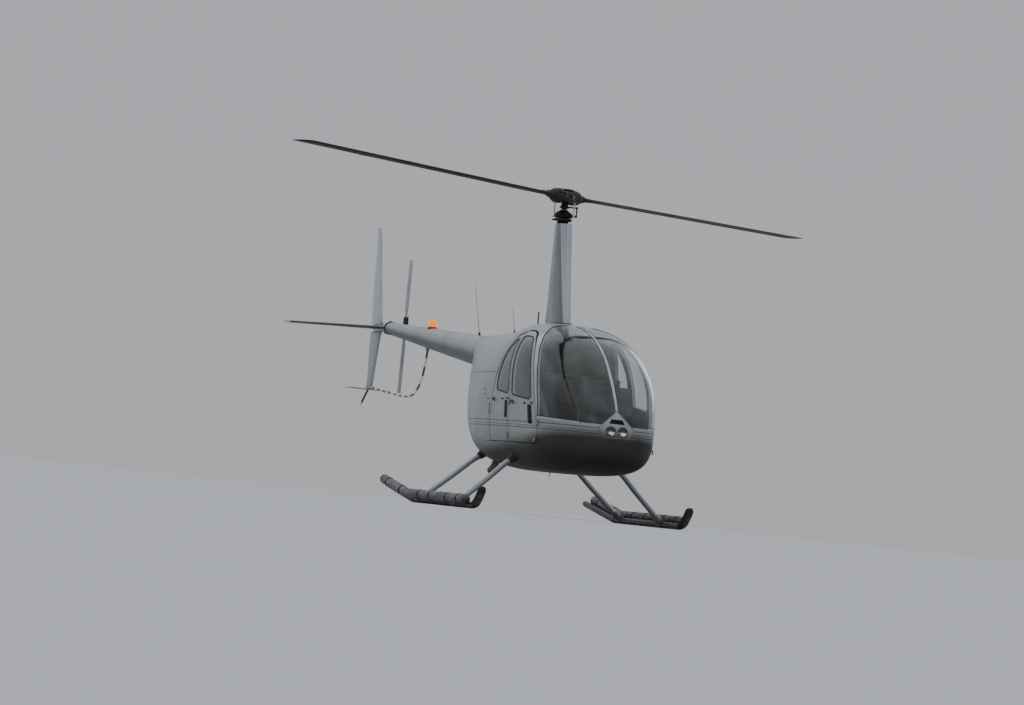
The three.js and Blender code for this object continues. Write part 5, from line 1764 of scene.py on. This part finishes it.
def makeSkid(side, sign):
    g = gearSet
    y = sign * g["aside"]
    line = pathThrough(inPlane(g["skid"], y), 120)
    line[:, 2] = np.maximum(line[:, 2], g["radius"] + 0.0003)
    radii = np.full(len(line), g["radius"])
    radii[-3:] = (0.031, 0.027, 0.02)
    tube = pipe(line, radii, 24)
    # The black upturned toe, wide and rounded
    toe = pathThrough(inPlane(g["toe"], y), 26)
    across, up = roundedSquare(fullTurn(28), 3.2)
    rings = []
    for k, (point, d) in enumerate(zip(toe, directions(toe))):
        w = k / (len(toe) - 1)
        wide = 0.03 + 0.012 * min(w / 0.25, 1)
        tall = 0.034 - 0.013 * w
        if k > len(toe) - 4:
            shrink = (0.93, 0.8, 0.55)[k - len(toe) + 3]
            wide, tall = wide * shrink, tall * shrink
        above = np.cross((0, 1, 0), d)
        rings.append(point + np.outer(wide * across, (0, 1, 0)) + np.outer(tall * up, above))
    toePart = loft(rings)
    toePart[0][:, 2] = np.maximum(toePart[0][:, 2], 0.0002)
    makePiece(f"skid-{side}", tube, skidPaint, [f"skid_{side}"])
    makePiece(f"skid-toe-{side}", toePart, gripRubber, slot="skid_dark")
    shoe = np.array([(0, -0.02, 0.0002), (0, 0.02, 0.0002), (0, 0.026, 0.014), (0, -0.026, 0.014)])
    shoes = [loft([shoe + (x + mastX, y, 0) for x in ends]) for ends in g["shoes"]]
    makePiece(f"skid-shoes-{side}", join(*shoes), darkSteel, slot="skid_dark", bevel=0.0015)


def makeFloat(side, sign):
    # The float is stowed in its cover: creased cloth under lashings
    g = gearSet
    lift = math.sqrt((g["radius"] + g["float"]) ** 2 - g["floatOut"] ** 2)
    bagLine = pathThrough(inPlane(g["bag"], sign * (g["aside"] + g["floatOut"])) + (0, 0, lift), 420)
    reach = reachAlong(bagLine)
    ties = np.array(g["lashings"])
    ahead = directions(bagLine)
    rings = []
    for point, d, s in zip(bagLine, ahead, reach):
        near = np.min(np.abs(ties - s))
        pinch = g["pinch"] * math.exp(-(near / 0.02) ** 2)
        end = min(s, reach[-1] - s)
        close = 1.0 if end > 0.03 else math.sqrt(max(1 - ((0.03 - end) / 0.031) ** 2, 0.12))
        above = np.cross((0, 1, 0), d)
        ring = []
        for a in fullTurn(44):
            c, w = math.cos(a), math.sin(a)
            crease = noise.noise(Vector((s * 26, 1.2 * c + 5, 1.2 * w)))
            fold = noise.noise(Vector((s * 5.0 + 3 * sign, 2.6 * c, 2.6 * w)) * 1.4)
            ripple = noise.noise(Vector((s * 3, 4.2 * c, 4.2 * w + 9)))
            r = g["float"] - 0.003 - pinch - g["crease"] * abs(crease)
            r += g["fold"] * fold + g["ripple"] * ripple
            ring.append(point + close * r * (c * np.array((0, 1, 0)) + w * above))
        rings.append(np.array(ring))
    bag = makePiece(f"float-bag-{side}", loft(rings), floatCloth, [f"float_bag_{side}"], sharp=180)
    straps = []
    for s in ties:
        k = int(np.searchsorted(reach, s))
        inner, outer = g["float"] - 0.0075, g["float"] - 0.0016
        straps.append(washer(bagLine[k], ahead[k], inner, outer, -0.008, 0.008, 40))
        buckle = bagLine[k] + (0, sign * (g["float"] - 0.001), 0)
        straps.append(block(buckle - (0.013, 0.003, 0.01), buckle + (0.013, 0.0015, 0.01)))
    makePiece(f"float-lashings-{side}", join(*straps), rubberSeal, slot="skid_dark")


def makeLegs():
    g = gearSet
    for place, (x, topY, topZ, barZ) in g["bars"].items():
        slope = (topZ - g["footZ"]) / (topY - g["aside"])
        knee = topY + (barZ - topZ) / slope
        half = [(x, g["aside"], g["footZ"]), (x, (g["aside"] + knee) / 2, (g["footZ"] + barZ) / 2),
                (x, knee + 0.06, barZ + 0.06 * slope), (x, knee - 0.07, barZ), (x, 0.12, barZ)]
        whole = fromMast(half + [(a, -b, c) for a, b, c in half[::-1]])
        line = pathThrough(whole, 150)
        makePiece(f"crosstube-{place}", pipe(line, g["leg"], 28), plainPaint, [f"crosstube_{place}"])
        down = unit(np.array((0, g["aside"] - topY, g["footZ"] - topZ)))
        collar = turned([(0.0285, -0.045), (0.046, -0.04), (0.044, -0.01), (0.037, 0.016), (0.034, 0.03),
                         (0.0285, 0.031)], (x + mastX, topY, topZ), down, 32)
        foot = np.array((x + mastX, g["aside"], g["footZ"]))
        sleeve = turned([(0.0285, 0), (0.034, 0.002), (0.036, 0.04), (0.037, 0.075), (0.034, 0.079)],
                        foot - down * 0.105, down, 28)
        saddle = washer(foot - (0.06, 0, 0.0065), (1, 0, 0), 0.0322, 0.0385, 0, 0.12, 32)
        # The ring lies flat on the floor, and its bore stays above its outside
        boreSide = np.isin(np.arange(len(saddle[0])) % 6, (0, 5))
        saddle[0][:, 2] = np.maximum(saddle[0][:, 2], np.where(boreSide, 0.0026, 0.0008))
        nuts = [foot - down * 0.066 + (dx, -0.024, -0.03) for dx in (-0.018, 0.018)]
        feet = join(sleeve, saddle, studs(nuts, [(0, -0.7, -0.7)] * 2, 0.007, 0.007, 6))
        makePiece(f"leg-collars-{place}", bothSides(collar), rubberSeal)
        makePiece(f"leg-feet-{place}", bothSides(feet), darkSteel, slot="skid_dark", bevel=0.001)


def makeUnderside():
    # Exhaust pipe and drains, and the small round covers on the cowling
    g = gearSet
    line = pathThrough(inPlane(g["exhaust"], -0.25), 26)
    ahead, around = directions(line), fullTurn(32)
    rings = []
    for points, r in ((range(len(line)), 0.038), (range(len(line) - 1, -1, -1), 0.0355)):
        for k in points:
            above = np.cross(ahead[k], (0, 1, 0))
            circled = np.outer(np.cos(around), (0, 1, 0)) + np.outer(np.sin(around), above)
            rings.append(line[k] + r * circled)
    makePiece("exhaust-pipe", loft(rings, looped=True), exhaustSteel, ["exhaust_pipe"])
    under = []
    for x, y, length in ((0.56, -0.05, 0.045), (-0.16, 0.1, 0.03)):
        z = float(sectionAt(tAt(x))[2])
        under.append(turned([(0.01, -0.006), (0.01, 0.004), (0.004, 0.007), (0.004, length)],
                            (x + mastX, y, z), (0, 0, -1), 14))
    makePiece("drains", join(*under), whiteBand)
    dots = []
    for x, z, r in ((-0.04, 1.203, 0.009), (0.0, 1.153, 0.008), (0.144, 1.106, 0.008), (1.11, 0.692, 0.013)):
        base, normal = onSkin(layoutOf([x], [z]))
        dots.append(turned([(r, -0.001), (r, 0.003), (0.7 * r, 0.005), (0.4 * r, 0.006)], base[0], normal[0],
                           20))
    *vents, lock = dots
    slot = bead(seamLine([(0.205, 1.068), (0.225, 0.951)]), 0.016, 0.003)
    makePiece("cowling-vents-right", mirrored(join(*vents, slot)), rubberSeal)
    for side, sign in bothHands:
        makePiece(f"front-door-locks-{side}", onSide(lock, sign), darkSteel, body=f"door_front_{side}")


for side, sign in bothHands:
    makeSkid(side, sign)
    makeFloat(side, sign)
makeLegs()
makeUnderside()
print("landing gear is made")


# Cabin
cabinSet = {
    "voxel": 0.009,
    "pressure": 4.0,
    "swell": 0.024,        # furthest that the filling pushes a cover out
    "cushion": (0.432, 0.405, 0.066),     # length, width and height of a front cushion before it swells
    "back": (0.06, 0.4, 0.49),
    "front": {"seat": (0.838, 0.112, 0.858), "back": (0.806, 0.112, 0.925), "lean": 8.0, "size": (1.0, 1.0)},
    "rear": {"seat": (0.3, 0.012, 0.838), "back": (0.207, 0.012, 0.925), "lean": 5.0, "size": (0.88, 1.2)},
    "channels": 3,
    "belt": 0.048,
    "crown": 0.012,        # how far the filled cushion and back stand past their sizes
    "rise": 0.018,         # how much higher a cushion's front edge is
}


def swollen(sizes):
    # Covers filled by a cloth simulation: their points and faces, in the order of the sizes
    covers = []
    for size in sizes:
        low = np.array([0.012, 0.012, 0.01])
        points, polygons = block(low, np.array(size) - low * (1, 1, 0.6))
        mesh = bpy.data.meshes.new("cover")
        mesh.from_pydata([tuple(p) for p in points], [], polygons)
        cover = linkToScene(bpy.data.objects.new("cover", mesh))
        soften = cover.modifiers.new("corners", "BEVEL")
        soften.width, soften.segments = 0.018, 4
        grid = cover.modifiers.new("grid", "REMESH")
        grid.mode, grid.voxel_size = "VOXEL", cabinSet["voxel"]
        shape = bpy.data.meshes.new_from_object(cover.evaluated_get(bpy.context.evaluated_depsgraph_get()))
        cover.modifiers.clear()
        cover.data = shape
        covers.append(cover)
    starts = [np.array([v.co[:] for v in cover.data.vertices]) for cover in covers]
    for cover in covers:
        cloth = cover.modifiers.new("filling", "CLOTH")
        cloth.settings.use_pressure = True
        cloth.settings.uniform_pressure_force = cabinSet["pressure"]
        cloth.settings.effector_weights.gravity = 0
        cloth.settings.quality = 5
    scene = bpy.context.scene
    scene.frame_start, scene.frame_end = 1, 20
    for step in range(1, 21):
        scene.frame_set(step)
    out = []
    for cover, start in zip(covers, starts):
        result = cover.evaluated_get(bpy.context.evaluated_depsgraph_get()).to_mesh()
        moved = np.array([v.co[:] for v in result.vertices]) - start
        length = np.linalg.norm(moved, axis=1)[:, None]
        moved *= np.minimum(1, cabinSet["swell"] / np.maximum(length, 1e-9))
        out.append((start + moved, [list(p.vertices) for p in result.polygons]))
        bpy.data.objects.remove(cover)
    bpy.context.scene.frame_set(1)
    return out


def fitted(part, low, high):
    # The part scaled to a box
    points = np.asarray(part[0], float)
    a, b = points.min(0), points.max(0)
    return np.asarray(low) + (points - a) / (b - a) * (np.asarray(high) - np.asarray(low)), part[1]


def channelled(part, axis, out, depth=0.006):
    # Sewn channels across a cover's face: out is the axis that the face looks along, with its sign
    points = np.array(part[0])
    face, sign = abs(out) - 1, np.sign(out)
    low, high = points.min(0), points.max(0)
    share = (points[:, axis] - low[axis]) / (high[axis] - low[axis])
    height = (points[:, face] - (low if sign < 0 else high)[face]) * -sign / (high[face] - low[face])
    near = np.clip(1 - height / 0.55, 0, 1)
    count = cabinSet["channels"] + 1
    for k in range(1, count):
        gap = (share - k / count) * (high[axis] - low[axis])
        points[:, face] -= sign * near * depth * np.exp(-(gap / 0.0065) ** 2)
    return points, part[1]


def makeSeats():
    c = cabinSet
    cushion, back = swollen([c["cushion"], c["back"]])
    length, width, height = c["cushion"]
    thick, _, tall = c["back"]
    cushion = channelled(fitted(cushion, (0, 0, 0), (length, width, height + c["crown"])), 1, 3)
    back = channelled(fitted(back, (0, 0, 0), (thick + c["crown"], width, tall)), 1, 1)
    edge = np.array([(0.02, 0.012), (length - 0.02, 0.012), (length - 0.008, 0.03),
                     (length - 0.008, width - 0.03), (length - 0.02, width - 0.012), (0.02, width - 0.012)])
    for place in ("front", "rear"):
        s = c[place]
        long, wide = s["size"]
        x, y, z = seat = fromMast(s["seat"])
        bx, by, bz = fromMast(s["back"])

        def laid(points):
            # Points of a cushion in its place, with its front edge raised
            points = points * (long, wide, 1) + seat
            points[:, 2] += c["rise"] * (points[:, 0] - x) / length
            return points

        rest = spin(back, (0, 1, 0), -s["lean"])[0] * (1, wide, 1) + (bx, by, bz)
        # Piping round the cushion, a lap belt with its buckle, and a shoulder strap
        rim = laid(np.column_stack([edge, np.full(len(edge), height * 0.86)]))
        piping = pipe(pathThrough(np.vstack([rim, rim[:1]]), 96), 0.0028, 8)
        far, middle, top = y + width * wide, y + width * wide / 2, z + height
        ends = [(x + 0.03, y + 0.008, z + 0.01), (x + 0.1, y + 0.03, top + 0.026),
                (x + 0.17, middle, top + 0.036), (x + 0.1, far - 0.03, top + 0.026),
                (x + 0.03, far - 0.008, z + 0.01)]
        lap = ribbon(pathThrough(ends, 50), c["belt"], (0.25, 0, 1))
        shift = tall * math.tan(math.radians(s["lean"]))
        across = by + width * wide * 0.8
        strap = [(bx - 0.008 - shift, across + 0.01, bz + tall + 0.012),
                 (bx + thick + 0.022 - shift, across, bz + tall - 0.004),
                 (bx + thick + 0.034 - shift * 0.55, across - 0.1, bz + tall * 0.55),
                 (x + 0.165, middle - 0.02, top + 0.046)]
        shoulder = ribbon(pathThrough(strap, 46), c["belt"], (1, 0, 0.25))
        buckle = block((x + 0.138, middle - 0.035, top + 0.04), (x + 0.202, middle + 0.03, top + 0.056))
        for side, sign in bothHands:
            node = f"seat_front_{side}" if place == "front" else "seat_rear"
            for name, part in (("cushion", (laid(cushion[0]), cushion[1])), ("back", (rest, back[1]))):
                pad = makePiece(f"seat-{name}-{place}-{side}", onSide(part, sign), seatLeather, [node],
                                sharp=180, subdivide=1)
            makePiece(f"seat-piping-{place}-{side}", onSide(piping, sign), rubberSeal, slot="seat_leather")
            makePiece(f"seat-belt-{place}-{side}", onSide(join(lap, shoulder), sign), beltWebbing, sharp=30)
            makePiece(f"belt-buckle-{place}-{side}", onSide(buckle, sign), bareSteel, bevel=0.003)


def ribbon(line, width, up, thick=0.0016):
    # A flat strap along a line, its face towards up
    line = np.asarray(line, float)
    rings = []
    for point, d in zip(line, directions(line)):
        across = unit(np.cross(d, up))
        face = np.cross(across, d)
        rings.append(np.array([point + across * a * width / 2 + face * b * thick / 2
                               for a, b in ((-1, -1), (1, -1), (1, 1), (-1, 1))]))
    return loft(rings)


consoleSet = {
    "pedestal": ((1.7, 0.6366), (1.96, 0.6366), (1.975, 0.9), (1.955, 1.06), (1.712, 1.06), (1.69, 1.06),
                 (1.66, 0.8)),
    "panel": ((1.69, 1.05), (1.955, 1.05), (1.928, 1.25), (1.86, 1.32), (1.77, 1.315)),
    "half": 0.25,
    "pedestalHalf": 0.186,
    "dialRows": (0.7, 0.29),       # share of the way up the face
    # across, radius
    "dials": ((-0.19, 0.041), (-0.095, 0.041), (0.0, 0.041), (0.095, 0.041), (0.19, 0.036)),
    "radios": (0.18, 0.42, 0.66, 0.88),
}


def slab(outline, half, roundBy=0.012):
    # A prism across the cabin from an (x, z) outline with rounded corners
    line = rounded(list(outline), roundBy)
    return loft([inPlane(line, y) for y in (-half, half)])


def facingSeats(low, high):
    # The way a face looks that rises from low to high, towards the seats
    x, z = unit(high - low)
    return np.array((-z, 0, x)) if z > 0 else np.array((z, 0, -x))


def makeConsole():
    k = consoleSet
    makePiece("console-pedestal", slab(k["pedestal"], k["pedestalHalf"]), consoleFinish,
              ["instrument_console"], bevel=0.006)
    makePiece("console-panel", slab(k["panel"], k["half"]), consoleFinish, ["instrument_console"],
              bevel=0.008)
    low, high = np.array(k["panel"][0]), np.array(k["panel"][-1])
    normal = facingSeats(low, high)
    rings, faces, needles = [], [], []
    for share, (y, r) in ((share, dial) for share in k["dialRows"] for dial in k["dials"]):
        x, z = low + (high - low) * share
        centre = fromMast((x, y, z))
        rings.append(turned([(r, -0.002), (r, 0.006), (r * 0.93, 0.008), (r * 0.86, 0.008),
                             (r * 0.84, 0.003), (r * 0.2, 0.003)], centre, normal, 32))
        faces.append(turned([(r * 0.83, 0.0032), (r * 0.83, 0.0042)], centre, normal, 32))
        side, up = frameAlong(normal)
        for a in np.radians(np.arange(-130, 131, 26)):
            d = side * math.sin(a) + up * math.cos(a)
            needles.append(rod(centre + normal * 0.0046 + d * r * 0.66,
                               centre + normal * 0.0046 + d * r * 0.78, 0.0007, sides=5))
        d = side * math.sin(y * 30) + up * math.cos(y * 30)
        needles.append(rod(centre + normal * 0.005 - d * r * 0.12, centre + normal * 0.005 + d * r * 0.62,
                           0.0011, 0.0005, 6))
    makePiece("dial-rims", join(*rings), rotorBlack, slot="console_black")
    makePiece("dial-faces", join(*faces), rubberSeal)
    makePiece("dial-marks", join(*needles), whiteBand)
    # Radio fronts and a row of switches on the pedestal, on the side that faces the seats
    low, high = np.array(k["pedestal"][-1]), np.array(k["pedestal"][-2])
    normal = facingSeats(low, high)
    parts, knobs = [], []
    side = np.array((0, 1.0, 0))
    for share in k["radios"]:
        x, z = low + (high - low) * share
        centre = fromMast((x, 0, z))
        up = np.cross(normal, side)
        front = np.array([centre + side * a + up * b
                          for a, b in ((-0.082, -0.022), (0.082, -0.022), (0.082, 0.022), (-0.082, 0.022))])
        parts.append(loft([front - normal * 0.004, front + normal * 0.005]))
        large = [(y, [(0.0085, 0), (0.0085, 0.01), (0.006, 0.013)], 16) for y in (-0.066, 0.066)]
        small = [(y, [(0.004, 0), (0.004, 0.004), (0.0025, 0.005)], 10) for y in np.linspace(-0.04, 0.04, 5)]
        for y, profile, sides in large + small:
            knobs.append(turned(profile, centre + side * y + normal * 0.005, normal, sides))
    makePiece("radio-fronts", join(*parts), rotorBlack, slot="console_black", bevel=0.0015)
    makePiece("console-knobs", join(*knobs), gripRubber)


controlsSet = {
    "stick": ((1.18, 0.6365), (1.29, 0.9), (1.4, 1.12)),
    "bar": ((-0.33, 1.128), (-0.2, 1.12), (0, 1.118), (0.2, 1.12), (0.33, 1.128)),    # (y, z) over the stick
    "grips": (-0.33, 0.33),
    "collective": ((0.86, 0.7), (0.98, 0.812), (1.14, 0.905)),
    "collectiveAside": -0.062,
    "pedals": (-0.365, -0.255, 0.255, 0.365),
}


def makeControls():
    c = controlsSet
    line = pathThrough(inPlane(c["stick"]), 40)
    boot = [(0.06 - 0.0045 * j - (0.004 if j % 2 else 0), 0.0065 * j) for j in range(9)]
    top = c["stick"][-1][0]
    cross = pipe(pathThrough(fromMast([(top, y, z) for y, z in c["bar"]]), 40), 0.011, 16)
    hub = turned([(0.02, -0.024), (0.024, -0.02), (0.024, 0.02), (0.02, 0.024)], fromMast((1.4, 0, 1.118)),
                 (0, 1, 0), 24)
    makePiece("cyclic-stick", join(pipe(line, 0.0155, 20), cross, hub), rotorBlack, ["flight_controls"],
              slot="console_black")
    makePiece("cyclic-boot", turned(boot, fromMast((1.192, 0, 0.6366)), (0.38, 0, 1), 28), gripRubber)
    grips = []
    for y in c["grips"]:
        centre = fromMast((top, y, 0.984))
        grips.append(turned([(0.01, 0), (0.016, 0.006), (0.0175, 0.03), (0.0155, 0.06), (0.0175, 0.09),
                             (0.0165, 0.118), (0.018, 0.126), (0.018, 0.146), (0.012, 0.152)], centre,
                            (0.02, 0, 1), 24))
        grips.append(turned([(0.006, 0), (0.006, 0.006), (0.004, 0.008)], centre + (-0.012, 0, 0.139),
                            (-1, 0, 0.15), 12))
    makePiece("cyclic-grips", join(*grips), gripRubber)
    line = pathThrough(inPlane(c["collective"], c["collectiveAside"]), 24)
    radii = np.where(np.arange(24) > 15, 0.0165, 0.0105)
    makePiece("collective-lever", pipe(line, radii, 18), gripRubber, sharp=50)
    pedals = []
    for y in c["pedals"]:
        foot = fromMast((1.875, y, 0.7))
        pad = foot + [(-0.012, -0.038, -0.03), (-0.012, 0.038, -0.03), (0.014, 0.038, 0.036),
                      (0.014, -0.038, 0.036)]
        pedals.append(loft([pad, pad + (0.009, 0, -0.003)]))
        pedals.append(rod(foot + (0.008, 0, 0.0), foot + (0.02, 0, -0.062), 0.0075, sides=14))
    for low, high in ((-0.37, -0.196), (0.196, 0.37)):
        pedals.append(rod(fromMast((1.895, low, 0.662)), fromMast((1.895, high, 0.662)), 0.009))
    makePiece("pedals", join(*pedals), darkSteel, bevel=0.001)


def finishSolids():
    # Solids that stay as they are get their finish
    for node, material in (("cabin_floor", cabinTrim), ("engine", castAlloy), ("main_gearbox", castAlloy)):
        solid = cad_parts[node]
        solid.data.materials.clear()
        solid.data.materials.append(material)


makeSeats()
makeConsole()
makeControls()
finishSolids()
print("cabin is made")


# Floor and light
stageSet = {
    "floor": (0.47, 0.48, 0.49),
    "sky": ((0.5, (0.49, 0.505, 0.53)), (0.53, (0.49, 0.51, 0.54)), (0.62, (0.51, 0.535, 0.57)),
            (0.75, (0.86, 0.89, 0.94)), (1.0, (1.05, 1.08, 1.12))),
    "ground": (0.24, 0.245, 0.25),
    "skyStrength": 0.95,
    "clouds": 0.75,        # how far the sky's upper part varies
    "sun": ((-3.0, -6.0, 9.0), 0.9, 35.0),      # where it shines from, strength and width in degrees
    "rim": ((-9.0, 9.0, 5.5), 90, 5.0),        # soft lamp behind on the port side: place, power, size
}


def makeStage():
    mesh = bpy.data.meshes.new("floor")
    mesh.from_pydata([(-400, -400, 0), (400, -400, 0), (400, 400, 0), (-400, 400, 0)], [], [[0, 1, 2, 3]])
    floor = linkToScene(bpy.data.objects.new("floor", mesh))
    tones = stageSet["floor"], tuple(1.02 * v for v in stageSet["floor"])
    mesh.materials.append(surface("pale_floor", tones, (0.9, 0.98), scale=0.6, specular=0.0))
    world = bpy.data.worlds.new("soft sky")
    bpy.context.scene.world = world
    world.use_nodes = True
    tree = world.node_tree
    coords = addNode(tree, "TexCoord", {})["Generated"]
    up = axesOf(tree, coords)["Z"]
    height = addNode(tree, "MapRange", {"Value": up, "From Min": -1})["Result"]
    tone = ramp(tree, height, [(0.0, stageSet["ground"]), (0.49, stageSet["ground"]), *stageSet["sky"]])
    cloud = addNode(tree, "TexNoise", {"Scale": 2.2, "Detail": 5, "Vector": coords})["Fac"]
    veil = ramp(tree, cloud, [(0.35, (0.42,)), (0.62, (1.25,))])
    above = smoothSpan(tree, up, 0.1, 0.45, 0.0, stageSet["clouds"])
    wire(tree, tree.nodes["Background"], {"Color": mixColors(tree, above, tone, veil, "MULTIPLY"),
                                          "Strength": stageSet["skyStrength"]})
    place, power, width = stageSet["sun"]
    sun = linkToScene(bpy.data.objects.new("sun", bpy.data.lights.new("sun", "SUN")))
    sun.data.energy, sun.data.angle = power, math.radians(width)
    sun.visible_glossy = sun.visible_transmission = False
    sun.rotation_euler = Vector(place).to_track_quat("Z", "Y").to_euler()
    place, power, size = stageSet["rim"]
    rim = linkToScene(bpy.data.objects.new("rim", bpy.data.lights.new("rim", "AREA")))
    rim.data.energy, rim.data.size = power, size
    rim.location = Vector(place) + Vector((mastX, 0, 0))
    rim.rotation_euler = (Vector((mastX, 0, 1.2)) - rim.location).to_track_quat("-Z", "Y").to_euler()


makeStage()
